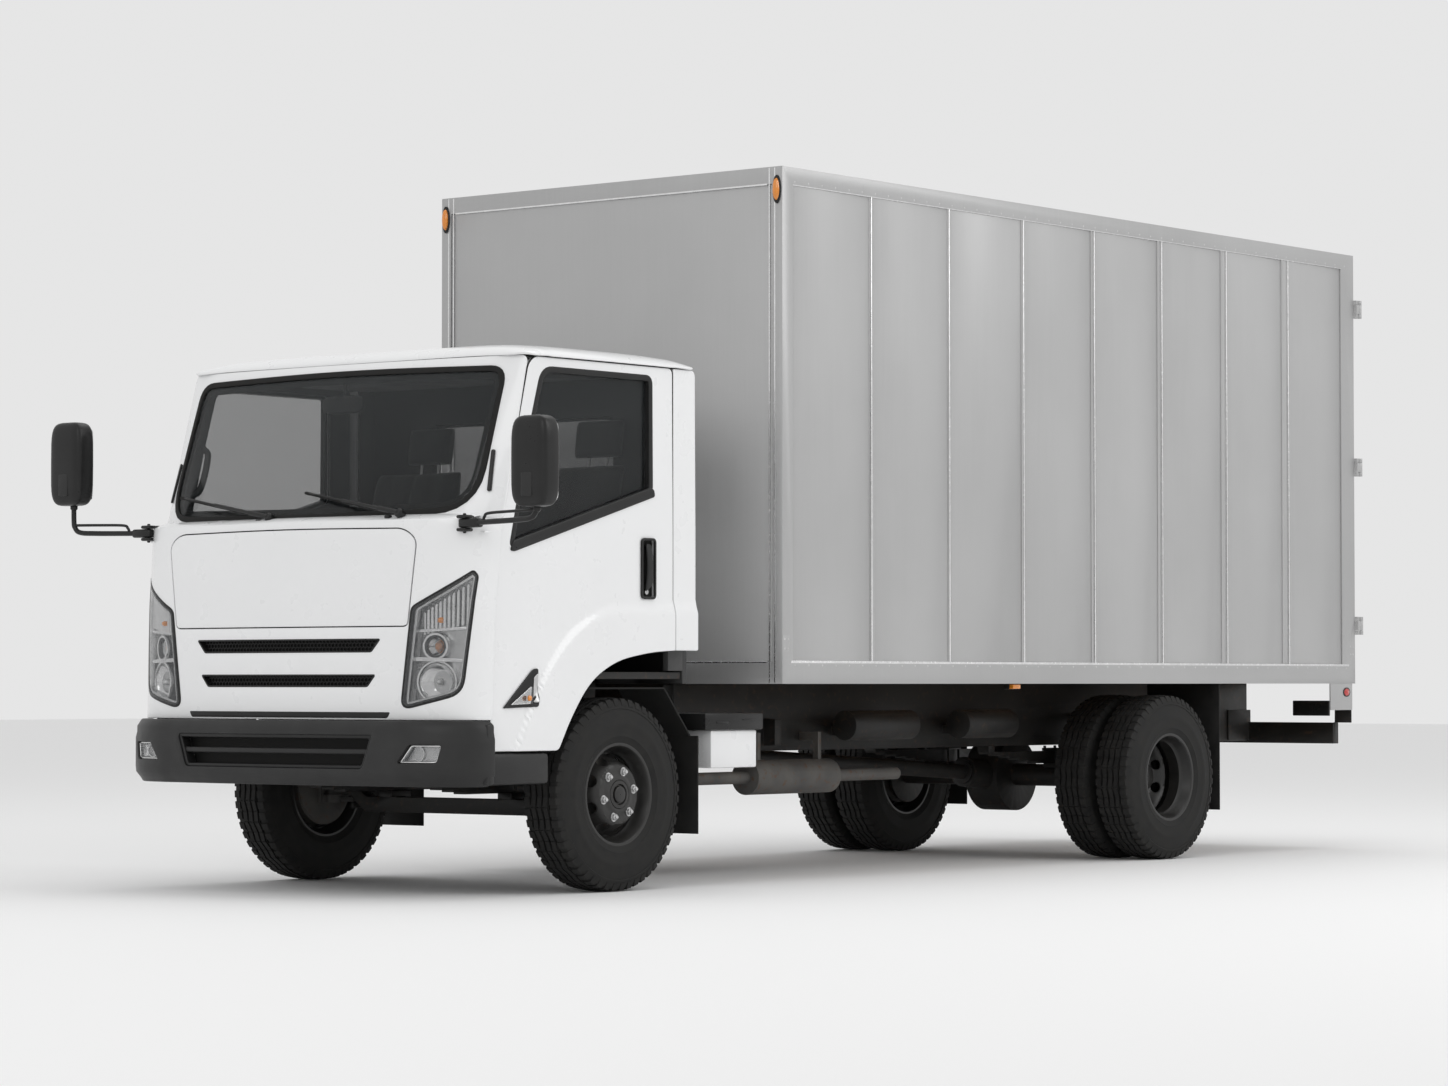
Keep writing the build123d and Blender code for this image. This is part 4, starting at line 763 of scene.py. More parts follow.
def screen():
    """Windscreen surround, seal, glass with its dark band, and the rear window."""
    outline = rounded([(-0.965, SCREEN_FOOT - 0.012, 0.02), (0.965, SCREEN_FOOT - 0.012, 0.02), (0.950,
                                                                                                 SCREEN_HEAD, 0.03),
                       (-0.950, SCREEN_HEAD, 0.03)], 0.03)
    opening = rounded([(-0.872, SCREEN_FOOT + 0.020, 0.17), (0.0, SCREEN_FOOT + 0.004, 0.4), (0.872,
                                                                                              SCREEN_FOOT + 0.020, 0.17),
                       (0.866, 2.140, 0.07), (0.0, 2.156, 0.4), (-0.866, 2.140, 0.07)], 0.1)
    panel("screen_surround", "cab", WHITE, outline, screen_place, 0.018, [opening])
    panel("screen_seal", "cab", SEAL, frame_ring(opening, -0.010), lambda x, z, d: screen_place(x, z,
                                                                                                d - 0.004),
          0.016, [frame_ring(opening, 0.014)], 0.06, 0.004)
    glass = panel("windscreen", "cab", GLASS, frame_ring(opening, 0.004), lambda x, z, d: screen_place(x, z,
                                                                                                       d + 0.003),
                  0.006, edge=0.001)
    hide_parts("cab_glass")
    panel("screen_dark_band", "cab", SEAL, frame_ring(opening, 0.004), lambda x, z, d: screen_place(x, z,
                                                                                                    d + 0.010),
          0.001, [frame_ring(opening, 0.042)], 0.06, 0.0003)
    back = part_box("cab_back_wall")[1].y
    window = rounded([(-0.520, 1.640), (0.520, 1.640), (0.520, 2.010), (-0.520, 2.010)], 0.06)

    def rear_place(x, z, depth):
        return Vector((x, back + 0.002 - depth, z))
    panel("rear_window", "cab", GLASS, frame_ring(window, 0.002), lambda x, z, d: rear_place(x, z,
                                                                                             d + 0.010), 0.006,
          edge=0.001)
    panel("rear_window_seal", "cab", SEAL, frame_ring(window, -0.022), rear_place, 0.012,
          [frame_ring(window, 0.012)],
          0.06, 0.004)


DOOR = [(-0.834, 0.590, 0.006), (-0.806, 1.196, 0.3), (-0.771, 1.480, 0.1), (-0.600, 2.155, 0.03), (-0.560,
                                                                                                    2.188, 0.03),
        (0.318, 2.188, 0.03), (0.318, 1.000, 0.006), (0.160, 0.992, 0.12), (-0.062, 0.957, 0.12), (-0.232,
                                                                                                   0.872,
                                                                                                   0.12),
        (-0.352, 0.722, 0.12), (-0.430, 0.590, 0.02)]
WINDOW = [(-0.706, 1.420, 0.012), (0.174, 1.668, 0.02), (0.174, 2.140, 0.03), (-0.512, 2.140, 0.06),
          (-0.600, 1.850, 0.3)]
HANDLE = (0.112, 0.190, 1.222, 1.460)


def doors():
    """Door skins, seals, linings, window frames, handle cups, levers and glass."""
    for side, sign in SIDES:
        body = f"cab_door_{side}"
        place = side_place(sign)
        outline = rounded(from_axle(DOOR), 0.02)
        window = rounded(from_axle(WINDOW), 0.03)
        y0, y1, z0, z1 = HANDLE
        cup = rounded(from_axle([(y0 - 0.004, z0 - 0.004), (y1 + 0.004, z0 - 0.004), (y1 + 0.004,
                                                                                      z1 + 0.004),
                                 (y0 - 0.004, z1 + 0.004)]), 0.016)
        skin = panel(f"door_skin_{side}", body, WHITE, outline, place, 0.026, [window, cup], 0.015, 0.004)
        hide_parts(body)
        panel(f"door_gap_seal_{side}", body, SEAL, frame_ring(outline, -0.0036), flat_side(sign,
                                                                                           SIDE_X - 0.018), 0.006,
              [frame_ring(outline, 0.001)], 0.06, 0.0008)
        panel(f"door_inner_{side}", body, INSIDE, frame_ring(outline, 0.012), flat_side(sign,
                                                                                        SIDE_X - 0.046), 0.014,
              [frame_ring(window, -0.002)], 0.08, 0.003)
        panel(f"window_frame_{side}", body, TRIM, frame_ring(window, -0.012), side_place(sign,
                                                                                         SIDE_X + 0.002), 0.026,
              [frame_ring(window, 0.014)], 0.05, 0.003)
        panel(f"belt_moulding_{side}", body, TRIM,
              rounded(from_axle([(-0.716, 1.396), (-0.690, 1.392), (0.196, 1.642), (0.190, 1.672), (0.170,
                                                                                                    1.680),
                                 (-0.700, 1.436)]), 0.012),
              side_place(sign, SIDE_X + 0.007), 0.016, (), 0.04, 0.005)
        panel(f"handle_cup_rim_{side}", body, TRIM, frame_ring(cup, -0.005), flat_side(sign,
                                                                                       SIDE_X - 0.006), 0.010,
              [frame_ring(cup, 0.006)], 0.05, 0.0025)
        panel(f"handle_cup_{side}", body, SEAL, frame_ring(cup, -0.001), flat_side(sign, SIDE_X - 0.028),
              0.003, (), 0.04,
              0.001)
        grip = rounded(from_axle([(y0 + 0.022, z0 + 0.020), (y1 - 0.014, z0 + 0.050), (y1 - 0.018,
                                                                                       z1 - 0.016), (y0 + 0.026, z1 - 0.012)]), 0.014)

        def bowed(y, z, depth, sign=sign):
            arch = 0.014 * math.sin(math.pi * min(1, max(0, (z - 1.222) / 0.238)))
            return Vector((sign * (SIDE_X - 0.014 + arch - depth), y, z))
        lever = panel(f"handle_lever_{side}", f"door_handle_{side}", TRIM, grip, bowed, 0.012, (), 0.02,
                      0.005)
        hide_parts(f"door_handle_{side}")
        barrel = lathe([(0.0, 0.002), (0.0, 0.010), (0.006, 0.011), (0.006, 0.002)],
                       (sign * (SIDE_X - 0.026), FRONT_AXLE + 0.151, 1.244), sign, 24)
        solid(f"door_lock_barrel_{side}", body, ZINC, [barrel])
        side_lamp(side, sign, body)
        dress(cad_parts[f"door_glass_{side}"], GLASS, 0.0)


def side_lamp(side, sign, body):
    """Triangular repeater low on the door's front edge."""
    outer = rounded(from_axle([(-0.762, 0.762, 0.012), (-0.560, 0.768, 0.012), (-0.545, 0.925, 0.016),
                               (-0.580, 0.920, 0.01)]), 0.012)
    lens_shape = rounded(from_axle([(-0.720, 0.776, 0.008), (-0.598, 0.780, 0.008), (-0.592, 0.852,
                                                                                     0.008)]), 0.008)
    wedge = rounded(from_axle([(-0.584, 0.786, 0.006), (-0.565, 0.786, 0.006), (-0.552, 0.905, 0.01),
                               (-0.578, 0.886, 0.006)]), 0.006)
    panel(f"side_lamp_frame_{side}", body, TRIM, outer, side_place(sign, SIDE_X + 0.008), 0.010, (), 0.03,
          0.004)
    panel(f"side_lamp_reflector_{side}", body, CHROME, lens_shape, side_place(sign, SIDE_X + 0.011), 0.004,
          (), 0.02, 0.001)
    panel(f"side_lamp_wedge_{side}", body, ZINC, wedge, side_place(sign, SIDE_X + 0.011), 0.004, (), 0.02,
          0.001)
    bulb = lathe([(0.0, 0.001), (0.0, 0.012), (0.006, 0.010), (0.009, 0.005), (0.010, 0.001)],
                 (sign * (SIDE_X + 0.009), FRONT_AXLE - 0.622, 0.803), sign, 20)
    solid(f"side_lamp_bulb_{side}", body, AMBER, [bulb])
    panel(f"side_lamp_lens_{side}", body, CLEAR, lens_shape, side_place(sign, SIDE_X + 0.022), 0.006, (),
          0.02, 0.003)


def cab_sides_and_roof():
    """Rear quarters, door posts, mirror brackets, pillar grabs, roof skin and lining."""
    for side, sign in SIDES:
        quarter = rounded(from_axle([(0.322, 1.000, 0.006), (0.470, 1.000, 0.01), (0.470, 2.188, 0.03),
                                     (0.322, 2.188, 0.01)]), 0.01)
        skin = panel(f"rear_quarter_{side}", "cab", WHITE, quarter, side_place(sign), 0.060, (), 0.015,
                     0.004)
        if side == "left":
            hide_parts("cab_pillars")
        parts = [brick(spot(sign * 0.868, -0.838, 0.600), spot(sign * 0.902, -0.800, 1.515)),
                 brick(spot(sign * 0.880, 0.338, 0.915), spot(sign * 0.912, 0.436, 2.185))]
        solid(f"door_posts_{side}", "cab", INSIDE, parts)
        x = sign * MIRROR_PIVOT_X
        y = MIRROR_PIVOT_Y
        stand = [brick((x - 0.026, y - 0.024, 1.467), (x + 0.026, y + 0.024, 1.481), 0.006),
                 brick((x - 0.026, y - 0.024, 1.519), (x + 0.026, y + 0.024, 1.533), 0.006),
                 brick((x - sign * 0.026, y + 0.024, 1.467), (x - sign * 0.004, y + 0.066, 1.533), 0.006),
                 bar((x, y, 1.460), (x, y, 1.540), 0.007)]
        solid(f"mirror_bracket_{side}", "cab", TRIM, stand)
        slot_shape = rounded([(sign * 0.902, 1.63, 0.008), (sign * 0.918, 1.63, 0.008), (sign * 0.902, 1.80,
                                                                                         0.008),
                              (sign * 0.886, 1.80, 0.008)], 0.008)
        panel(f"pillar_grab_{side}", "cab", TRIM, slot_shape, lambda a, z, d: screen_place(a, z, d - 0.010),
              0.012, (), 0.02, 0.004)
    roof_front = FRONT_AXLE - 0.640
    outline = rounded([(-0.966, roof_front, 0.09), (0.966, roof_front, 0.09), (0.966, CAB_BACK, 0.06),
                       (-0.966, CAB_BACK, 0.06)], 0.06)
    middle = (roof_front + CAB_BACK) / 2
    half = (CAB_BACK - FRONT_AXLE + 0.640) / 2

    def roof_place(x, y, depth):
        across = min(1.0, abs(x) / 0.968)
        along = min(1.0, abs(y - middle) / (half + 0.002))
        crown = (1 - across ** 7) ** 0.5 * (1 - along ** 5) ** 0.5
        ribs = 0.006 * math.cos(min(1.0,
                                    abs(abs(x) - 0.42) / 0.10) * math.pi) if abs(y - middle) < half * 0.72 else 0.0
        return Vector((x, y, ROOF_EDGE + (ROOF_TOP - ROOF_EDGE) * crown + min(0.0, ribs) * 0.3 - depth))
    roof = panel("roof_skin", "cab", WHITE, outline, roof_place, 0.012, (), 0.03, 0.004)
    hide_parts("cab_roof")
    lining = frame_ring(outline, 0.05)
    panel("roof_lining", "cab", LINING, lining, lambda x, y, d: Vector((x, y, 2.180 - d)), 0.008, (), 0.1,
          0.002)


# ------------------------------------------------------------------ bumper, lamps and mirrors
BUMPER_CORNER = 0.370
MIRROR_PIVOT_X = 0.905
MIRROR_PIVOT_Y = FRONT_AXLE - 0.930
MIRROR_PIVOT_Z = 1.500
MIRROR_TUBE_X = 1.325
WIPER_PIVOTS = (("left", 0.600), ("right", -0.135))
WIPER_PARK = math.radians(11)
WIPER_ARM = 0.347
WIPER_BLADE = (0.107, 0.587)
WIPER_LEVERS = (0.227, 0.467)
LEVER_HALF = 0.09
NOZZLES = (-0.19, 0.54)
SCREEN_NORMAL = Vector((0, -0.9136, 0.4066))
SCREEN_UP = Vector((0, 0.4066, 0.9136))


def bumper_shift(z):
    """Rounds the bumper's top edge and tucks its foot under."""
    top = 0.020 * smooth_step(z, 0.690, 0.716)
    foot = 0.030 * (1 - smooth_step(z, 0.448, 0.500))
    step = 0.006 * smooth_step(z, 0.640, 0.655) if z < 0.69 else 0.006
    return top + foot + step


def bumper():
    """Bumper skin, lower intake, step sills and fog lamps."""
    outer = front_place(0.088, BUMPER_CORNER, 0.164, bumper_shift)
    outline = rounded([(-CORNER, 0.450, 0.02), (CORNER, 0.450, 0.02), (CORNER, 0.714, 0.02), (-CORNER,
                                                                                              0.714, 0.02)], 0.02)
    intake = rounded([(-0.505, 0.520, 0.02), (0.505, 0.520, 0.02), (0.556, 0.655, 0.02), (-0.556, 0.655,
                                                                                          0.02)], 0.02)
    fogs = [rounded(wrapped(FOG, sign, BUMPER_CORNER), 0.01) for _, sign in SIDES]
    skin = panel("bumper_skin", "cab", BUMPER, outline, outer, 0.028, [intake, *fogs], 0.024, 0.005)
    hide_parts("bumper")
    panel("intake_frame", "cab", TRIM, frame_ring(intake, -0.002), front_place(0.080), 0.05,
          [frame_ring(intake, 0.014)],
          0.05, 0.006)
    blade = rounded([(-0.535, 0.578), (0.535, 0.578), (0.542, 0.600), (-0.542, 0.600)], 0.008)
    panel("intake_blade_1", "cab", BUMPER, blade, front_place(0.072), 0.030, (), 0.05, 0.007)
    panel("intake_backing", "cab", SEAL, frame_ring(intake, 0.002), front_place(0.020), 0.005)
    parts = []
    for _, sign in SIDES:
        parts.append(brick(spot(sign * 0.900, -0.838, 0.456), spot(sign * 0.972, -0.492, 0.582), 0.016))
        parts.append(brick(spot(sign * 0.938, -0.880, 0.456), spot(sign * 0.986, -0.836, 0.700), 0.012))
        parts.append(brick(spot(sign * 0.600, -0.900, 0.560), spot(sign * 0.900, -0.868, 0.620), 0.01))
    solid("step_sills", "cab", BUMPER, parts)
    for side, sign in SIDES:
        fog = rounded(wrapped(FOG, sign, BUMPER_CORNER), 0.01)
        panel(f"fog_bowl_{side}", "cab", BOWL, frame_ring(fog, 0.001), front_place(0.045, BUMPER_CORNER),
              0.02, (), 0.03, 0.01)
        panel(f"fog_bezel_{side}", "cab", CHROME, fog, front_place(0.074, BUMPER_CORNER), 0.03,
              [frame_ring(fog, 0.007)],
              0.03, 0.003)
        panel(f"fog_lens_{side}", "cab", CLEAR, frame_ring(fog, 0.005), front_place(0.074, BUMPER_CORNER),
              0.005, (), 0.03, 0.003)
        eye = facing([(0.0, 0.004), (0.004, 0.022), (0.018, 0.026), (0.018, 0.030), (0.000, 0.031), (-0.012,
                                                                                                     0.024), (-0.014, 0.004)],
                     (sign * 0.760, FRONT_MIDDLE + 0.010, 0.582))
        solid(f"fog_reflector_{side}", "cab", CHROME, [eye])


def facing(profile, centre, count=40, tilt=(0.0, -1.0, 0.0)):
    """Closed ring of (along, radius) points turned about a line that faces forwards."""
    along = Vector(tilt).normalized()
    side = Vector((1, 0, 0)) - along * along.x
    side.normalize()
    up = along.cross(side)
    vertices = []
    for k in range(count):
        turn = 2 * math.pi * k / count
        for reach, radius in profile:
            vertices.append(Vector(centre) + along * reach + (side * math.cos(turn) + up * math.sin(turn)) * radius)
    return vertices, quads(count, len(profile), True)


def ring_profile(radius, width, thickness, dish=0.0):
    """Section of a flat ring with rounded edges."""
    return [(0.0, radius), (thickness, radius - width * 0.2), (thickness, radius - width * 0.8), (0.0,
                                                                                                  radius - width),
            (-dish, radius - width * 0.8), (-dish, radius - width * 0.2)]


def bowl_profile(radius, depth):
    """Section of a reflector bowl with its rolled rim."""
    inner = [(-depth * (1 - (k / 6) ** 2), radius * k / 6) for k in range(7)]
    inner[0] = (-depth, 0.001)
    outer = [(-depth * (1 - (k / 6) ** 2) - 0.004, radius * k / 6 + 0.002) for k in range(6, -1, -1)]
    outer[-1] = (-depth - 0.004, 0.001)
    return inner + [(0.003, radius + 0.001)] + outer


def dome_profile(radius, rise):
    """Section of a domed bulb or lens."""
    arc = [(rise * math.cos(math.radians(15 * k)), max(0.001,
                                                       radius * math.sin(math.radians(15 * k)))) for k in range(7)]
    return arc + [(-0.003, radius), (-0.003, 0.001)]


def headlamps():
    """Bezel, bright surround, ribbed indicator, projector, main reflector and clear cover on each side."""
    for side, sign in SIDES:
        outline = rounded(wrapped(LAMP, sign), 0.03)
        cover = panel(f"headlamp_cover_{side}", "cab", CLEAR, frame_ring(outline, 0.006),
                      front_place(0.004), 0.004, (),
                      0.02, 0.001)
        if side == "left":
            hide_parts("front_lamps")
        panel(f"headlamp_bezel_{side}", "cab", TRIM, frame_ring(outline, -0.003), front_place(0.003), 0.024,
              [frame_ring(outline, 0.015)], 0.04, 0.003)
        panel(f"headlamp_bowl_{side}", "cab", BOWL, frame_ring(outline, 0.004), front_place(-0.062), 0.004,
              (), 0.03, 0.001)
        panel(f"headlamp_rim_{side}", "cab", BOWL, frame_ring(outline, 0.010), front_place(-0.003), 0.058,
              [frame_ring(outline, 0.024)], 0.03, 0.004)
        ribs = []
        for k in range(11):
            x = 0.712 + 0.0185 * k
            top = 1.158 + (x - 0.682) * 0.605 - 0.028
            base = 1.055 + 0.004 * k
            turn = wrap(sign * x)
            low = front_place(-0.046)(turn, base, 0.0)
            high = front_place(-0.046)(turn, top, 0.0)
            ribs.append(bar(low, high, 0.0075, 10))
        solid(f"headlamp_ribs_{side}", "cab", CHROME, ribs)
        steps = []
        for k in range(8):
            z = 0.842 + 0.014 * k
            low = front_place(-0.050)(wrap(sign * (0.664 + 0.002 * k)), z, 0.0)
            high = front_place(-0.050)(wrap(sign * 0.705), z, 0.0)
            steps.append(bar(low, high, 0.0045, 8))
        solid(f"headlamp_flutes_{side}", "cab", CHROME, steps)

        def at(x, z, depth, sign=sign):
            return front_place(0.0)(wrap(sign * x), z, depth)
        tilt = (sign * 0.35, -0.93, 0.0)
        lower = at(0.790, 0.868, 0.030)
        middle = at(0.785, 1.010, 0.026)
        upper = at(0.800, 1.115, 0.040)
        shapes = [facing(bowl_profile(0.076, 0.036), lower, 48, tilt), facing(ring_profile(0.088, 0.011,
                                                                                           0.010, 0.02), lower, 48, tilt),
                  facing(ring_profile(0.057, 0.014, 0.012, 0.02), middle, 40, tilt),
                  facing(bowl_profile(0.042, 0.026), middle, 40, tilt)]
        solid(f"headlamp_reflectors_{side}", "cab", CHROME, shapes)
        solid(f"headlamp_shade_{side}", "cab", TRIM, [facing(ring_profile(0.046, 0.012, 0.006, 0.012),
                                                             middle, 40, tilt)])
        solid(f"headlamp_projector_{side}", "cab", CLEAR, [facing(dome_profile(0.030, 0.018), middle, 32,
                                                                  tilt)])
        bulbs = [facing(dome_profile(0.013, 0.020), upper, 24, tilt),
                 facing(dome_profile(0.016, 0.010), at(0.787, 1.010, 0.044), 24, tilt)]
        solid(f"headlamp_indicator_{side}", "cab", AMBER, bulbs)
        cap = [facing(dome_profile(0.014, 0.022), at(0.792, 0.868, 0.046), 24, tilt)]
        solid(f"headlamp_bulb_cap_{side}", "cab", ZINC, cap)
        shelf = rounded([(wrap(sign * 0.672), 0.952), (wrap(sign * 0.900), 0.946), (wrap(sign * 0.906),
                                                                                    0.960),
                         (wrap(sign * 0.674), 0.970)], 0.005)
        panel(f"headlamp_shelf_{side}", "cab", CHROME, shelf, front_place(-0.016), 0.045, (), 0.03, 0.003)
        ledge = rounded([(wrap(sign * 0.684), 1.064), (wrap(sign * 0.912), 1.078), (wrap(sign * 0.912),
                                                                                    1.090),
                         (wrap(sign * 0.685), 1.078)], 0.005)
        panel(f"headlamp_ledge_{side}", "cab", CHROME, ledge, front_place(-0.018), 0.043, (), 0.03, 0.003)


def rounded_block(low, high, power=6.0, count=36, rows=18):
    """Soft rectangular housing: a barrel whose section and profile are both rounded rectangles."""
    low, high = Vector(low), Vector(high)
    middle, half = (low + high) / 2, (high - low) / 2
    vertices = []
    for row in range(rows + 1):
        lift = math.radians(-90 + 180 * row / rows)
        rise = math.copysign(abs(math.sin(lift)) ** (2 / power), math.sin(lift))
        reach = max(0.004, math.cos(lift) ** (2 / power) if math.cos(lift) > 1e-9 else 0.004)
        for k in range(count):
            turn = 2 * math.pi * k / count
            across = math.copysign(abs(math.cos(turn)) ** (2 / power), math.cos(turn))
            along = math.copysign(abs(math.sin(turn)) ** (2 / power), math.sin(turn))
            vertices.append((middle.x + half.x * reach * across, middle.y + half.y * reach * along,
                             middle.z + half.z * rise))
    return vertices, capped(rows + 1, count)


def mirrors():
    """Mirror shells, glasses and covers on their bent tubes."""
    for side, sign in SIDES:
        low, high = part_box(f"mirror_head_{side}")
        body = f"mirror_head_{side}"
        shell = solid(f"mirror_shell_{side}", body, TRIM, [rounded_block(low, high, 5.0)],
                      60.0)
        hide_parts(body)
        middle = (low + high) / 2
        face = rounded([(low.x + 0.020, low.z + 0.020), (high.x - 0.020, low.z + 0.020), (high.x - 0.020,
                                                                                          high.z - 0.020),
                        (low.x + 0.020, high.z - 0.020)], 0.035)

        def rear_face(x, z, depth, high=high):
            return Vector((x, high.y + 0.001 - depth, z))
        panel(f"mirror_glass_{side}", body, MIRROR, face, rear_face, 0.003, (), 0.06, 0.001)
        patch = rounded([(middle.x - 0.028, low.z + 0.040), (middle.x + 0.028, low.z + 0.040),
                         (middle.x + 0.028, low.z + 0.135),
                         (middle.x - 0.028, low.z + 0.135)], 0.01)
        panel(f"mirror_cover_{side}", body, BUMPER, patch, lambda x, z, d, y=low.y: Vector((x,
                                                                                            y - 0.002 + d, z)), 0.012, (), 0.03,
              0.004)
        y = MIRROR_PIVOT_Y
        z = MIRROR_PIVOT_Z
        x = sign * MIRROR_TUBE_X
        main = tube([(sign * 0.917, y, z), (sign * 1.05, y - 0.014, z + 0.002), (sign * 1.20, y - 0.030,
                                                                                 z + 0.005),
                     (sign * 1.285, y - 0.040, z + 0.010), (sign * 1.316, y - 0.042, z + 0.030), (x,
                                                                                                  y - 0.042,
                                                                                                  z + 0.070),
                     (x, y - 0.042, low.z + 0.110)], 0.011)
        brace = tube([(sign * 1.012, y - 0.010, z + 0.006), (sign * 1.022, y - 0.011, z + 0.024),
                      (sign * 1.046, y - 0.014, z + 0.036), (sign * 1.18, y - 0.027, z + 0.040),
                      (sign * 1.318, y - 0.042, z + 0.042)],
                     0.006)
        collar = brick((sign * 0.885, y - 0.019, z - 0.018), (sign * 0.990, y + 0.019, z + 0.018), 0.008)
        sleeve = bar((x, y - 0.042, low.z - 0.018), (x, y - 0.042, low.z + 0.012), 0.016)
        arm = solid(f"mirror_tube_{side}", f"mirror_arm_{side}", TRIM, [main, brace, collar, sleeve],
                    50.0)
        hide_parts(f"mirror_arm_{side}")


def wipers():
    """Arms with their levers and blades, and the washer nozzles."""
    normal = SCREEN_NORMAL
    park = Vector((-1, 0, 0)) * math.cos(WIPER_PARK) + SCREEN_UP * math.sin(WIPER_PARK)
    for side, x in WIPER_PIVOTS:
        body = f"wiper_{side}"
        base = spot(x, -0.955, 1.533) + normal * 0.032
        tip = base + park * WIPER_ARM
        start, end = [base + park * reach for reach in WIPER_BLADE]
        head = [bar(base - normal * 0.026, base + normal * 0.013, 0.019, 24),
                bar(base + normal * 0.006, base + park * 0.12 + normal * 0.008, 0.0105),
                bar(base + park * 0.09 + normal * 0.008, tip + normal * 0.004, 0.0075),
                bar(tip - normal * 0.012, tip + normal * 0.006, 0.007)]
        levels = []
        for centre in WIPER_LEVERS:
            levels.append(tube([base + park * (centre - LEVER_HALF) - normal * 0.004,
                                base + park * centre + normal * 0.006,
                                base + park * (centre + LEVER_HALF) - normal * 0.004], 0.0035, 10, 5))
        first, last = [base + park * reach + normal * 0.006 for reach in WIPER_LEVERS]
        levels.append(tube([first, tip + normal * 0.004, last], 0.004, 10, 5))
        arm = solid(f"wiper_arm_{side}", body, TRIM, head + levels)
        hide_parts(body)
        blade = [bar(start - normal * 0.007, end - normal * 0.007, 0.0065, 10),
                 bar(start - normal * 0.012, end - normal * 0.012, 0.0025, 8)]
        solid(f"wiper_blade_{side}", body, SEAL, blade)
    for index, x in enumerate(NOZZLES):
        jet = spot(x, -0.985, 1.532)
        block = brick(jet - Vector((0.014, 0.010, 0.006)), jet + Vector((0.014, 0.010, 0.008)), 0.004)
        solid(f"washer_nozzle_{index + 1}", "cab", TRIM, [block])


# ------------------------------------------------------------------ wheels
RIM_SEAT = 0.2025
BEAD_RADIUS = 0.203
TURNS = 120
GROOVES = (-0.048, -0.016, 0.016, 0.048)
RIBS = ((-0.043, -0.021), (-0.011, 0.011), (0.021, 0.043))
BLOCKS_ROUND = 52
DISC_RADIUS = 0.178
HAND_HOLE_CIRCLE = 0.146
HAND_HOLES = 8
HUB_HOLE = 0.060
FRONT_DISC_X = 0.853
FRONT_DISH = 0.070
NUTS = 6


def tyre_shape(x, y, sign):
    """Tyre carcass with bead, sidewall rings, rounded shoulder and grooved tread."""
    radius = TYRE_RADIUS
    half = TYRE_WIDTH / 2
    inner = BEAD_RADIUS
    section = [(-half + 0.022, inner), (-half + 0.014, inner + 0.012), (-half + 0.007, inner + 0.035),
               (-half + 0.0045, inner + 0.038),
               (-half + 0.0055, inner + 0.052), (-half + 0.002, inner + 0.080), (-half + 0.0005,
                                                                                 inner + 0.095),
               (-half + 0.0025, inner + 0.100), (-half + 0.004, inner + 0.125), (-half + 0.009,
                                                                                 inner + 0.150),
               (-half + 0.006, inner + 0.153), (-half + 0.010, inner + 0.170), (-half + 0.018,
                                                                                radius - 0.014),
               (-half + 0.026, radius - 0.009)]
    tread = []
    for place in GROOVES:
        tread += [(place - 0.0045, radius - 0.006 - 0.4 * place * place), (place - 0.003, radius - 0.016),
                  (place + 0.003, radius - 0.016), (place + 0.0045, radius - 0.006 - 0.4 * place * place)]
    mirrored = [(-a, b) for a, b in reversed(section)]
    hollow = [(half - 0.030, inner), (half - 0.020, inner + 0.05), (half - 0.018, inner + 0.12),
              (half - 0.035, radius - 0.030),
              (-half + 0.035, radius - 0.030), (-half + 0.018, inner + 0.12), (-half + 0.020, inner + 0.05),
              (-half + 0.030, inner)]
    return lathe(section + tread + mirrored + hollow, (x, y, AXLE_Z), sign, TURNS)


def tread_blocks(x, y):
    """Zigzag ribs and shoulder lugs standing on the carcass."""
    parts = []
    half = TYRE_WIDTH / 2
    step = 2 * math.pi / BLOCKS_ROUND
    for k in range(BLOCKS_ROUND):
        turn = 2 * math.pi * k / BLOCKS_ROUND
        for low, high in RIBS:
            sway = 0.0035 * (1 if k % 2 else -1)
            corners = []
            for t, drift in ((turn, -sway), (turn + step * 0.94, sway)):
                for a in (low, high):
                    for r in (TYRE_RADIUS - 0.010, TYRE_RADIUS - 0.0006):
                        corners.append((x + a + drift, y + r * math.cos(t), AXLE_Z + r * math.sin(t)))
            parts.append((corners, [(0, 1, 3, 2), (4, 6, 7, 5), (0, 4, 5, 1), (2, 3, 7, 6), (1, 5, 7, 3),
                                    (0, 2, 6, 4)]))
        for sign in (1, -1):
            corners = []
            for t in (turn + step * 0.12, turn + step * 0.74):
                for a, r in ((0.053, TYRE_RADIUS - 0.012), (0.053, TYRE_RADIUS - 0.0015), (half - 0.018,
                                                                                           TYRE_RADIUS - 0.005),
                             (half - 0.0065, TYRE_RADIUS - 0.034), (half - 0.016, TYRE_RADIUS - 0.034)):
                    corners.append((x + sign * a, y + r * math.cos(t), AXLE_Z + r * math.sin(t)))
            faces = [(0, 1, 2, 3, 4), (9, 8, 7, 6, 5)]
            faces += [(i, (i + 1) % 5, (i + 1) % 5 + 5, i + 5) for i in range(5)]
            parts.append((corners, faces))
    return parts


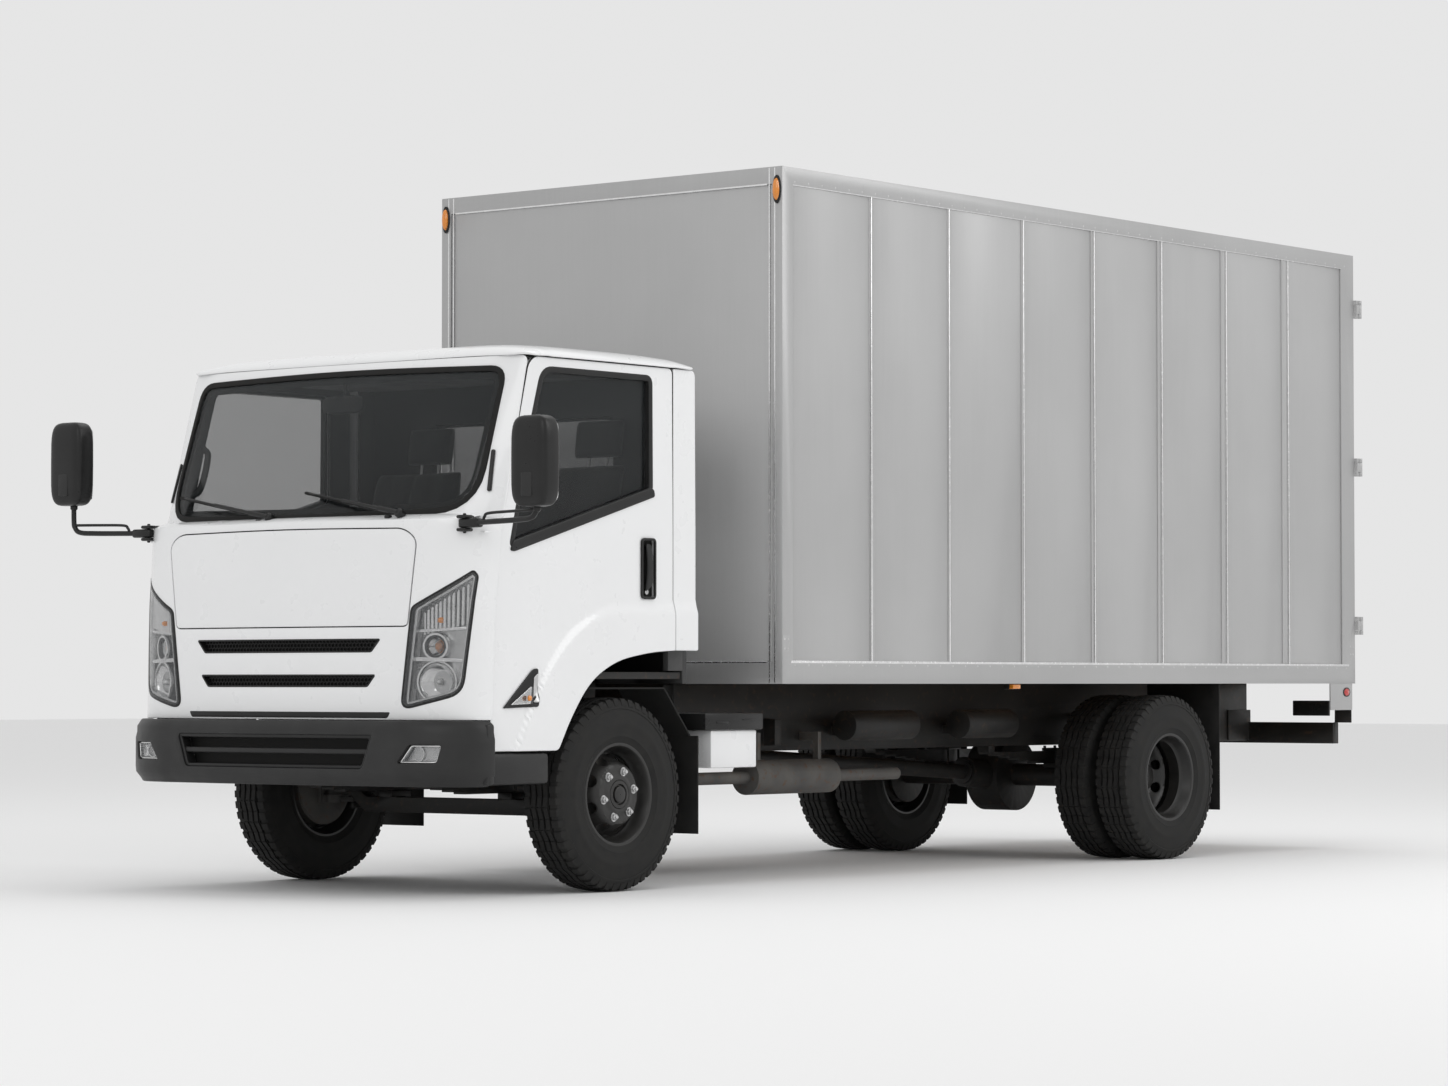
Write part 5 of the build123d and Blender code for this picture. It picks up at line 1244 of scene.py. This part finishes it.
def rim_barrel(x, y, sign):
    """Rim bed and both flanges, closed section turned about the axle."""
    half = TYRE_WIDTH / 2
    seat = RIM_SEAT
    section = [(-half + 0.020, seat + 0.016), (-half + 0.016, seat + 0.014), (-half + 0.016, seat),
               (-half + 0.024, seat - 0.006),
               (-half + 0.060, seat - 0.012), (-half + 0.075, seat - 0.026), (half - 0.075, seat - 0.026),
               (half - 0.060, seat - 0.012),
               (half - 0.024, seat - 0.006), (half - 0.016, seat), (half - 0.014, seat + 0.010),
               (half - 0.017, seat + 0.019),
               (half - 0.023, seat + 0.019), (half - 0.025, seat + 0.002), (half - 0.065, seat - 0.004),
               (half - 0.080, seat - 0.020),
               (-half + 0.080, seat - 0.020), (-half + 0.065, seat - 0.004), (-half + 0.025, seat + 0.002),
               (-half + 0.024, seat + 0.016)]
    return lathe(section, (x, y, AXLE_Z), sign, TURNS)


def wheel_disc(name, body, x, y, sign, shape):
    """Pressed disc with oval hand holes; shape gives how far out each radius stands."""
    outline = oval(0, 0, DISC_RADIUS, DISC_RADIUS, 96)
    cuts = [oval(0, 0, HUB_HOLE, HUB_HOLE, 48)]
    for k in range(HAND_HOLES):
        turn = math.radians(360 / HAND_HOLES * (k + 0.5))
        along = Vector((math.cos(turn), math.sin(turn)))
        across = Vector((-along.y, along.x))
        cuts.append([along * HAND_HOLE_CIRCLE + along * (0.013 * p.x) + across * (0.026 * p.y) for p in oval(0, 0, 1, 1, 24)])

    def place(a, b, depth):
        stand = shape(math.hypot(a, b))
        return Vector((x + sign * (stand - depth), y + a, AXLE_Z + b))
    return panel(name, body, WHEEL, outline, place, 0.008, cuts, 0.012, 0.003)


def front_disc_shape(radius):
    """Dished front wheel: a raised face round the hub falling away to the rim."""
    return FRONT_DISH - FRONT_DISH * smooth_step(radius, 0.118, 0.172) + 0.006 * smooth_step(0.085 - radius,
                                                                                             0.0, 0.012)


def rear_disc_shape(radius):
    """Rear wheel: a deep dish that rises towards the rim."""
    return -0.004 + 0.060 * smooth_step(radius, 0.118, 0.176)


def nuts(x, y, sign, circle, length):
    """Wheel nuts on their studs and washers, evenly round a circle."""
    parts = []
    for k in range(NUTS):
        turn = math.radians(360 / NUTS * k + 12)
        cy, cz = y + circle * math.cos(turn), AXLE_Z + circle * math.sin(turn)
        hexagon = lathe([(0.0, 0.002), (0.0, 0.0145), (0.013, 0.0145), (0.017, 0.011), (0.017, 0.002)], (x,
                                                                                                         cy, cz), sign, 6)
        stud = bar((x + sign * 0.01, cy, cz), (x + sign * (0.018 + length), cy, cz), 0.0085, 12)
        washer = lathe([(0.0, 0.002), (0.0, 0.019), (0.004, 0.019), (0.004, 0.002)], (x, cy, cz), sign, 20)
        parts += [hexagon, stud, washer]
    return parts


def wheels():
    """Tyres, rims, discs, hubs, nuts and drums, single in front and paired behind."""
    for side, sign in SIDES:
        body = f"front_wheel_{side}"
        x = sign * FRONT_TYRE_X
        rubber_parts = [tyre_shape(x, FRONT_AXLE, sign)] + tread_blocks(x, FRONT_AXLE)
        tyre = solid(f"front_tyre_carcass_{side}", body, TYRE, rubber_parts, 28.0)
        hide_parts(f"front_tyre_{side}")
        barrel = solid(f"front_rim_barrel_{side}", body, WHEEL, [rim_barrel(x, FRONT_AXLE, sign)])
        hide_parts(f"front_rim_{side}")
        wheel_disc(f"front_disc_{side}", body, sign * FRONT_DISC_X, FRONT_AXLE, sign, front_disc_shape)
        face = sign * FRONT_DISC_X + sign * FRONT_DISH
        hub = lathe([(-0.03, 0.030), (-0.03, 0.061), (0.000, 0.061), (0.006, 0.058), (0.008, 0.044), (0.000,
                                                                                                      0.040), (0.000, 0.036),
                     (0.010, 0.034), (0.012, 0.028), (0.012, 0.002), (-0.03, 0.002)], (face, FRONT_AXLE,
                                                                                       AXLE_Z), sign, 60)
        solid(f"front_hub_cap_{side}", body, WHEEL, [hub])
        solid(f"front_nuts_{side}", body, ZINC, nuts(face - sign * 0.002, FRONT_AXLE, sign, 0.098, 0.006))
        drum = lathe([(-0.085, 0.060), (-0.085, 0.160), (-0.010, 0.160), (-0.006, 0.150), (-0.006, 0.060)],
                     (sign * FRONT_DISC_X, FRONT_AXLE, AXLE_Z), sign, 60)
        solid(f"front_drum_{side}", body, CAST, [drum])
        body = f"rear_wheel_{side}"
        rubber_parts, rims = [], []
        for centre in (OUTER_TYRE_X, INNER_TYRE_X):
            rubber_parts += [tyre_shape(sign * centre, REAR_AXLE, sign)] + tread_blocks(sign * centre,
                                                                                        REAR_AXLE)
            rims.append(rim_barrel(sign * centre, REAR_AXLE, sign))
        tyre = solid(f"rear_tyre_carcasses_{side}", body, TYRE, rubber_parts, 28.0)
        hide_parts(f"rear_tyres_{side}")
        barrel = solid(f"rear_rim_barrels_{side}", body, WHEEL, rims)
        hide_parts(f"rear_rims_{side}")
        dual = sign * (OUTER_TYRE_X + INNER_TYRE_X) / 2
        wheel_disc(f"rear_outer_disc_{side}", body, dual + sign * 0.012, REAR_AXLE, sign, rear_disc_shape)
        wheel_disc(f"rear_inner_disc_{side}", body, dual - sign * 0.012, REAR_AXLE, -sign, rear_disc_shape)
        hub = lathe([(-0.02, 0.030), (-0.02, 0.078), (0.050, 0.078), (0.058, 0.074), (0.060, 0.060), (0.076,
                                                                                                      0.056), (0.080, 0.050),
                     (0.080, 0.002), (-0.02, 0.002)], (dual, REAR_AXLE, AXLE_Z), sign, 60)
        solid(f"rear_hub_{side}", body, WHEEL, [hub])
        solid(f"rear_nuts_{side}", body, ZINC, nuts(dual + sign * 0.010, REAR_AXLE, sign, 0.104, 0.010))
        drum = lathe([(-0.16, 0.060), (-0.16, 0.150), (-0.03, 0.150), (-0.025, 0.140), (-0.025, 0.060)],
                     (dual, REAR_AXLE, AXLE_Z),
                     sign, 60)
        solid(f"rear_drum_{side}", body, CAST, [drum])


# ------------------------------------------------------------------ cabin
def cushion(name, low, high, crown, body="cab", power=4.0, lean=0.0, channels=0):
    """Crowned closed pad: sides drawn in between the corners, sewn channels across the top."""
    low, high = Vector(low), Vector(high)
    middle, half = (low + high) / 2, (high - low) / 2
    build = bmesh.new()
    bmesh.ops.create_grid(build, x_segments=26, y_segments=26, size=1.0)
    top = {}
    for vertex in build.verts:
        u, v = vertex.co.x, vertex.co.y
        swell = (1 - abs(u) ** power) ** 0.5 * (1 - abs(v) ** power) ** 0.5 if max(abs(u),
                                                                                   abs(v)) < 1 else 0.0
        pinch = 1 - 0.035 * (1 - abs(u)) * (abs(v) > 0.999) - 0.035 * (1 - abs(v)) * (abs(u) > 0.999)
        seam = 0.0
        for k in range(channels):
            line = -0.5 + k * (1.0 / max(1, channels - 1)) if channels > 1 else 0.0
            seam += 0.012 * math.exp(-((u - line) / 0.035) ** 2) * swell
        bolster = 0.018 * smooth_step(abs(u), 0.62, 0.82) * swell if half.x > 0.1 and channels else 0.0
        top[vertex.index] = (u * pinch, v * pinch, swell, seam - bolster)
    vertices, faces = [], []
    total = len(build.verts)
    for part in (1, -1):
        for index in range(total):
            u, v, swell, seam = top[index]
            rise = crown * swell - seam if part > 0 else -swell * half.z * 0.9
            height = middle.z + (rise + half.z - crown if part > 0 else rise)
            if swell <= 0.0:
                height = middle.z
            x, y = middle.x + half.x * u, middle.y + half.y * v
            vertices.append(Vector((x, y, height)))
    for face in build.faces:
        loop = [vertex.index for vertex in face.verts]
        faces.append(tuple(loop))
        faces.append(tuple(total + i for i in reversed(loop)))
    build.free()
    if lean:
        pivot = Vector((0, middle.y, low.z))
        swing = math.radians(lean)
        for vertex in vertices:
            reach = vertex - pivot
            vertex.y = pivot.y + reach.y * math.cos(swing) + reach.z * math.sin(swing)
            vertex.z = pivot.z - reach.y * math.sin(swing) + reach.z * math.cos(swing)
    piece = finish_piece(name, mesh_from(name, vertices, faces), body, CLOTH, 80.0)
    soften = piece.modifiers.new("soften", "SUBSURF")
    soften.levels = soften.render_levels = 1
    return piece


def upright_cushion(name, low, high, crown, channels, lean):
    """A pad standing up: made lying on its back, then turned and leaned."""
    low, high = Vector(low), Vector(high)
    depth = high.y - low.y
    height = high.z - low.z
    flat = cushion(name, (low.x, -height / 2, 0), (high.x, height / 2, depth), crown, channels=channels)
    swing = math.radians(90 - lean)
    middle = Vector(((low.x + high.x) / 2, (low.y + high.y) / 2, (low.z + high.z) / 2))
    for vertex in flat.data.vertices:
        x, y, z = vertex.co
        z -= depth / 2
        vertex.co = Vector((x, middle.y + y * math.cos(swing) - z * math.sin(swing),
                            middle.z + y * math.sin(swing) + z * math.cos(swing)))
    flat.data.update()
    return flat


def seats():
    """Driver seat and passenger bench with backrests and headrests."""
    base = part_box("driver_seat")[0].z
    for name, low_x, high_x, heads in (("driver_seat", -0.720, -0.220, 1), ("passenger_seat", -0.130, 0.720,
                                                                            2)):
        pad = cushion(f"{name}_cushion", spot(low_x, -0.225, base + 0.002), spot(high_x, 0.270,
                                                                                 base + 0.135), 0.06,
                      channels=3)
        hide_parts(name)
        upright_cushion(f"{name}_backrest", spot(low_x + 0.005, 0.180, base + 0.080),
                        spot(high_x - 0.005, 0.310, base + 0.610), 0.055, 3, 12)
        stems = []
        for index in range(heads):
            middle = low_x + (high_x - low_x) * (index + 0.5) / heads
            upright_cushion(f"{name}_headrest_{index + 1}", spot(middle - 0.125, 0.325, base + 0.635),
                            spot(middle + 0.125, 0.412, base + 0.800), 0.035, 0, 8)
            for offset in (-0.05, 0.05):
                stems.append(bar(spot(middle + offset, 0.350, base + 0.560), spot(middle + offset, 0.366,
                                                                                  base + 0.690),
                                 0.006))
        solid(f"{name}_headrest_stems", "cab", ZINC, stems)


def cabin():
    """Dashboard, column, steering wheel, gear lever, interior mirror and grab handles."""
    section = rounded(from_axle([(-0.846, 1.485), (-0.846, 1.150), (-0.760, 1.130), (-0.640, 1.180),
                                 (-0.560, 1.330),
                                 (-0.585, 1.430), (-0.700, 1.492)]), 0.05, 0.03)

    def dash_place(y, z, depth):
        return Vector((0.860 - depth, y, z))
    dash = panel("dash_moulding", "cab", INSIDE, section, dash_place, 1.720, (), 0.05, 0.012)
    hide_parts("dashboard")
    hub = spot(-0.455, -0.430, 1.395)
    along = Vector((0, math.cos(math.radians(55)), math.sin(math.radians(55))))
    column = [bar(hub - along * 0.260, hub - along * 0.044, 0.042, 24)]
    solid("column_cowl", "cab", INSIDE, column)
    binnacle = rounded_block(spot(-0.630, -0.720, 1.440), spot(-0.280, -0.560, 1.530), 4.0)
    solid("instrument_hood", "cab", INSIDE, [binnacle], smooth=60.0)
    vents = []
    for x in (-0.74, -0.10, 0.05, 0.20, 0.62):
        vents.append(brick(spot(x - 0.055, -0.585, 1.360), spot(x + 0.055, -0.560, 1.415), 0.01))
    solid("dash_vents", "cab", TRIM, vents)
    side = Vector((1, 0, 0))
    other = along.cross(side)
    count, around = 72, 14
    vertices = []
    for k in range(count):
        turn = 2 * math.pi * k / count
        out = side * math.cos(turn) + other * math.sin(turn)
        for j in range(around):
            roll = 2 * math.pi * j / around
            vertices.append(hub + out * (0.205 + 0.014 * math.cos(roll)) + along * 0.0145 * math.sin(roll))
    ring = [(vertices, quads(count, around, True))]
    for angle in (30, 150, 270):
        turn = math.radians(angle)
        out = side * math.cos(turn) + other * math.sin(turn)
        ring.append(tube([hub + out * 0.03 - along * 0.004, hub + out * 0.11 - along * 0.006,
                          hub + out * 0.200], 0.011, 10, 5))
    ring.append(facing([(-0.018, 0.001), (-0.018, 0.055), (-0.004, 0.062), (0.010, 0.058), (0.014, 0.040),
                        (0.015, 0.001)], hub, 40, along))
    ring.append(bar(hub - along * 0.041, hub - along * 0.010, 0.022, 20))
    wheel = solid("steering_rim", "steering_wheel", TRIM, ring)
    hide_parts("steering_wheel")
    low = spot(-0.110, -0.420, 1.127)
    stick = [bar(low, spot(-0.110, -0.395, 1.335), 0.007), facing(dome_profile(0.026, 0.026), spot(-0.110,
                                                                                                   -0.393, 1.345), 30, (0, 0.1, 1)),
             facing([(-0.02, 0.001), (-0.02, 0.012), (0.0, 0.026), (0.002, 0.026), (0.002, 0.001)],
                    spot(-0.110, -0.393, 1.343), 30, (0, 0.1, 1)),
             facing([(-0.016, 0.001), (-0.012, 0.012), (0.0, 0.016), (0.012, 0.012), (0.016, 0.006), (0.016,
                                                                                                      0.001)], low, 24, (0, 0, 1))]
    lever = solid("gear_stick", "gear_lever", TRIM, stick)
    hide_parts("gear_lever")
    head = rounded_block(spot(-0.115, -0.700, 1.985), spot(0.115, -0.665, 2.060), 4.0)
    solid("interior_mirror", "cab", TRIM, [head, bar(spot(0, -0.675, 2.05), spot(0, -0.668, 2.150), 0.007)],
          smooth=60.0)
    for sign in (1, -1):
        grab = tube([spot(sign * 0.872, -0.74, 1.66), spot(sign * 0.812, -0.72, 1.69), spot(sign * 0.806,
                                                                                            -0.68, 1.83),
                     spot(sign * 0.862, -0.65, 1.87)], 0.014)
        solid(f"inside_grab_{1 if sign > 0 else 2}", "cab", INSIDE, [grab])


# ------------------------------------------------------------------ what keeps its CAD mesh
def dress(obj, finish, bevel=0.003, smooth=30.0):
    """Gives a CAD piece its finish and softened edges."""
    mesh = obj.data
    mesh.materials.clear()
    mesh.materials.append(finish)
    for face in mesh.polygons:
        face.use_smooth = True
        face.material_index = 0
    weld = obj.modifiers.new("weld", "WELD")
    weld.merge_threshold = 1e-5
    if bevel:
        edge = obj.modifiers.new("soft edges", "BEVEL")
        edge.width = bevel
        edge.segments = 2
        edge.limit_method = "ANGLE"
        edge.angle_limit = math.radians(40)
        edge.harden_normals = True
    else:
        split = obj.modifiers.new("sharp edges", "EDGE_SPLIT")
        split.split_angle = math.radians(smooth)


KEPT = (("cab_floor", CHASSIS, 0.003), ("cab_back_wall", BACK, 0.003), ("brake_pedal", TRIM, 0.002),
        ("clutch_pedal", TRIM, 0.002),
        ("accelerator_pedal", TRIM, 0.002), ("tie_rod", CHASSIS, 0.002), ("propshaft", CHASSIS, 0.002),
        ("knuckle_left", CAST, 0.003),
        ("knuckle_right", CAST, 0.003), ("chassis_frame", CHASSIS, 0.003), ("front_axle_beam", CHASSIS,
                                                                            0.004),
        ("rear_axle_housing", CHASSIS, 0.004), ("suspension", CHASSIS, 0.002), ("engine_and_gearbox", CAST,
                                                                                0.006),
        ("exhaust_system", EXHAUST, 0.003), ("fuel_and_air_tanks", CHASSIS, 0.005), ("mudguards", SEAL,
                                                                                     0.002),
        ("underrun_bar", CHASSIS, 0.004), ("box_floor", PLY, 0.002), ("box_walls", SHEET, 0.0015),
        ("box_roof", SHEET, 0.004),
        ("box_frame", RAIL, 0.003), ("cargo_door_left", SHEET, 0.003), ("cargo_door_right", SHEET, 0.003),
        ("lock_bar_left", ZINC, 0.002),
        ("lock_bar_right", ZINC, 0.002))


# ------------------------------------------------------------------ cargo box details
BAYS = 8
RAIL_RIVETS = 49
MARKER = (0.9725, 3.010)
MARKER_SCALE = (0.022, 1.0, 0.062)
REAR_LAMP_Z = 0.815
REAR_LAMP_SCALE = (1.0, 0.034, 0.024)


def box_details():
    """Finishes of the kept pieces, joint strips, rivets, trim lines, gaskets and corner plates."""
    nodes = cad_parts
    for name, finish, bevel in KEPT:
        dress(nodes[name], finish, bevel)
    top_rail, bottom_rail = BOX_TOP - 0.075, BOX_BOTTOM + 0.095
    front_edge, rear_edge = BOX_FRONT + 0.055, BOX_REAR - 0.060
    strips, beads, rivets = [], [], []
    span = (rear_edge - front_edge) / BAYS
    for sign in (1, -1):
        x = sign * (BOX_HALF - 0.0065)
        for k in range(BAYS + 1):
            y = front_edge + span * k
            y = min(max(y, front_edge + 0.006), rear_edge - 0.006)
            strips.append(brick((x, y - 0.005, bottom_rail + 0.001), (x + sign * 0.0055, y + 0.005,
                                                                      top_rail - 0.001), 0.002))
            if 0 < k < BAYS:
                for offset in (-0.012, 0.012):
                    beads.append(brick((x, y + offset - 0.0025, bottom_rail + 0.002), (x + sign * 0.0025,
                                                                                       y + offset + 0.0025, top_rail - 0.002),
                                       0.001))
        trim_x = sign * (BOX_HALF - 0.001)
        strips.append(brick((trim_x - sign * 0.006, BOX_FRONT + 0.06, bottom_rail - 0.006),
                            (trim_x + sign * 0.0012, rear_edge, bottom_rail + 0.006),
                            0.002))
        strips.append(brick((trim_x - sign * 0.006, BOX_FRONT + 0.06, top_rail - 0.004),
                            (trim_x + sign * 0.0008, rear_edge, top_rail + 0.004), 0.002))
        for k in range(RAIL_RIVETS):
            y = BOX_FRONT + 0.09 + (rear_edge - BOX_FRONT - 0.12) * k / (RAIL_RIVETS - 1)
            for z in (BOX_BOTTOM + 0.080, BOX_TOP - 0.062):
                rivets.append(lathe([(0.0, 0.001), (0.0, 0.0055), (0.0012, 0.0045), (0.0022, 0.001)],
                                    (trim_x, y, z), sign, 10))
        for y in (BOX_FRONT + 0.018, BOX_FRONT + 0.043, BOX_REAR - 0.044, BOX_REAR - 0.020):
            for z in (1.012, 1.052):
                rivets.append(lathe([(0.0, 0.001), (0.0, 0.006), (0.0014, 0.005), (0.0026, 0.001)], (trim_x,
                                                                                                     y, z), sign, 10))
        for y0, y1 in ((BOX_FRONT + 0.004, BOX_FRONT + 0.053), (BOX_REAR - 0.058, BOX_REAR - 0.004)):
            beads.append(brick((trim_x - sign * 0.002, y0, 0.995), (trim_x + sign * 0.0012, y1, 1.070),
                               0.001))
    solid("joint_strips", "chassis", STRIP, strips)
    solid("joint_beads", "chassis", RAIL, beads)
    solid("box_rivets", "chassis", ZINC, rivets, smooth=50.0)
    front = []
    y = BOX_FRONT + 0.0005
    front.append(brick((-0.918, y - 0.0010, bottom_rail - 0.005), (0.918, y + 0.004, bottom_rail + 0.005),
                       0.002))
    front.append(brick((-0.918, y - 0.0010, top_rail - 0.004), (0.918, y + 0.004, top_rail + 0.004), 0.002))
    for x in (-0.958, -0.928, 0.928, 0.958):
        front.append(brick((x - 0.003, y - 0.0010, BOX_BOTTOM + 0.004), (x + 0.003, y + 0.004,
                                                                         BOX_TOP - 0.004), 0.001))
    solid("front_trim_lines", "chassis", STRIP, front)
    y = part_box("cargo_door_left")[0].y + 0.044
    runs = (((0.004, 0.962), (0.934, 0.974)), ((0.004, 3.016), (0.934, 3.028)), ((0.004, 0.962), (0.016,
                                                                                                  3.028)),
            ((0.922, 0.962), (0.934, 3.028)))
    for side, sign in SIDES:
        gasket = [brick((sign * a[0], y - 0.004, a[1]), (sign * b[0], y - 0.0008, b[1]), 0.001) for a,
                  b in runs]
        solid(f"door_gasket_{side}", f"cargo_door_{side}", SEAL, gasket)
    plates = []
    for _, sign in SIDES:
        plates.append(brick((sign * 0.9915, BOX_REAR - 0.252, 0.7215), (sign * 0.9992, BOX_REAR - 0.0285,
                                                                        0.861), 0.0015))
    solid("rear_corner_plates", "chassis", RAIL, plates)
    lamps()
    battery()


def lamps():
    """Marker, side, corner and tail lamps with their bases."""
    y = BOX_FRONT
    bases, amber, red, clear = [], [], [], []
    for sign in (1, -1):
        marker = (sign * MARKER[0], y, MARKER[1])
        bases.append(stretched(facing([(0.0, 0.001), (0.0, 1.0), (0.006, 1.0), (0.008, 0.85), (0.008,
                                                                                               0.001)], (0,
                                                                                                         0, 0)), marker,
                               MARKER_SCALE))
        amber.append(stretched(facing([(0.006, 0.001), (0.006, 0.80), (0.014, 0.72), (0.019, 0.45), (0.020,
                                                                                                     0.001)], (0, 0, 0)),
                               marker, MARKER_SCALE))
        side_x = sign * (BOX_HALF - 0.0016)
        corner = (side_x, BOX_REAR - 0.090, REAR_LAMP_Z)
        bases.append(stretched(lathe([(0.0, 0.001), (0.0, 1.0), (0.004, 1.0), (0.004, 0.001)], (0, 0, 0),
                                     sign), corner,
                               REAR_LAMP_SCALE))
        red.append(stretched(lathe([(0.003, 0.001), (0.003, 0.82), (0.006, 0.7), (0.0078, 0.001)], (0, 0,
                                                                                                    0), sign), corner,
                             REAR_LAMP_SCALE))
        low, high = (sign * 0.640, sign * 0.860)
        ends = sorted((low, high))
        bases.append(brick((ends[0], BOX_REAR - 0.034, 0.690), (ends[1], BOX_REAR - 0.018, 0.770), 0.004))
        third = (high - low) / 3
        for k, target in ((0, clear), (1, red), (2, amber)):
            a, b = sorted((low + third * k + sign * 0.005, low + third * (k + 1) - sign * 0.005))
            target.append(brick((a, BOX_REAR - 0.019, 0.698), (b, BOX_REAR - 0.011, 0.762), 0.003))
        a, b = sorted((sign * 0.957, sign * 0.9845))
        amber.append(brick(spot(a, 2.785, 0.836), spot(b, 2.845, 0.857), 0.003))
        a, b = sorted((sign * 0.935, sign * 0.962))
        bases.append(brick(spot(a, 2.780, 0.834), spot(b, 2.850, 0.860), 0.002))
    base = solid("lamp_bases", "chassis", TRIM, bases)
    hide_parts("box_lamps")
    solid("amber_lamps", "chassis", AMBER, amber)
    solid("red_lamps", "chassis", RED, red)
    solid("reversing_lamps", "chassis", CLEAR, clear)


def stretched(shape, centre, scale):
    """A shape scaled along each axis, then moved to its centre."""
    vertices, faces = shape
    return [Vector((centre[0] + v[0] * scale[0], centre[1] + v[1] * scale[1],
                    centre[2] + v[2] * scale[2])) for v in map(Vector, vertices)], faces


def battery():
    """White battery case under a black lid with its latch and bracket."""
    low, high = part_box("battery_box")
    case = brick(spot(low.x + 0.018, 0.642, low.z), spot(high.x - 0.016, 0.958, 0.662), 0.008)
    body = solid("battery_case", "chassis", WHITE, [case])
    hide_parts("battery_box")
    lid = [brick((low.x, low.y, 0.662), (high.x, high.y, 0.735), 0.008),
           brick(spot(high.x - 0.003, 0.66, 0.690), spot(high.x + 0.003, 0.74, 0.700), 0.002),
           brick(spot(high.x - 0.003, 0.84, 0.704), spot(high.x + 0.003, 0.92, 0.710), 0.002)]
    solid("battery_lid", "chassis", TRIM, lid)


# ------------------------------------------------------------------ scene
CAMERA_PLACE = (12.02, -15.6015, 0.869)
CAMERA_TURN = (91.915, 0.0, 38.634)
CAMERA_LENS = 103.2
CAMERA_SENSOR = 36.0
LIGHT_TARGET = Vector((0.0, -0.5, 1.2))
LIGHTS = (("key", (11.0, 2.0, 8.0), 7.0, 330.0), ("front", (4.0, -16.0, 9.0), 7.0, 230.0),
          ("top", (0.0, 2.0, 12.0), 8.0, 260.0))
SKY_STRENGTH = 0.79
PAPER_SHADE = 0.86
PAPER_HALF = 60.0


def lay_stage():
    """Floor, world, lights and camera."""
    floor_mesh = bpy.data.meshes.new("studio_floor")
    build = bmesh.new()
    bmesh.ops.create_grid(build, x_segments=1, y_segments=1, size=PAPER_HALF)
    build.to_mesh(floor_mesh)
    build.free()
    floor = bpy.data.objects.new("studio_floor", floor_mesh)
    bpy.context.scene.collection.objects.link(floor)
    paper = Finish("studio_paper", Roughness=0.85)
    paper.colour(grey(PAPER_SHADE))
    floor.data.materials.append(paper.material)
    world = bpy.data.worlds.new("studio")
    world.use_nodes = True
    sky = world.node_tree.nodes["Background"]
    sky.inputs["Color"].default_value = grey(1.0)
    sky.inputs["Strength"].default_value = SKY_STRENGTH
    bpy.context.scene.world = world
    bpy.context.scene.view_settings.view_transform = "Standard"
    for name, place, size, power in LIGHTS:
        light = bpy.data.lights.new(name, "AREA")
        light.energy = power
        light.size = size
        lamp = bpy.data.objects.new(name, light)
        lamp.location = place
        lamp.rotation_euler = (LIGHT_TARGET - Vector(place)).to_track_quat("-Z", "Y").to_euler()
        bpy.context.scene.collection.objects.link(lamp)
    camera = bpy.data.cameras.new("camera")
    camera.lens = CAMERA_LENS
    camera.sensor_width = CAMERA_SENSOR
    camera.clip_end = 200.0
    eye = bpy.data.objects.new("camera", camera)
    eye.location = CAMERA_PLACE
    eye.rotation_euler = [math.radians(angle) for angle in CAMERA_TURN]
    bpy.context.scene.collection.objects.link(eye)
    bpy.context.scene.camera = eye


cab_front()
screen()
doors()
cab_sides_and_roof()
bumper()
headlamps()
mirrors()
wipers()
wheels()
seats()
cabin()
box_details()
lay_stage()
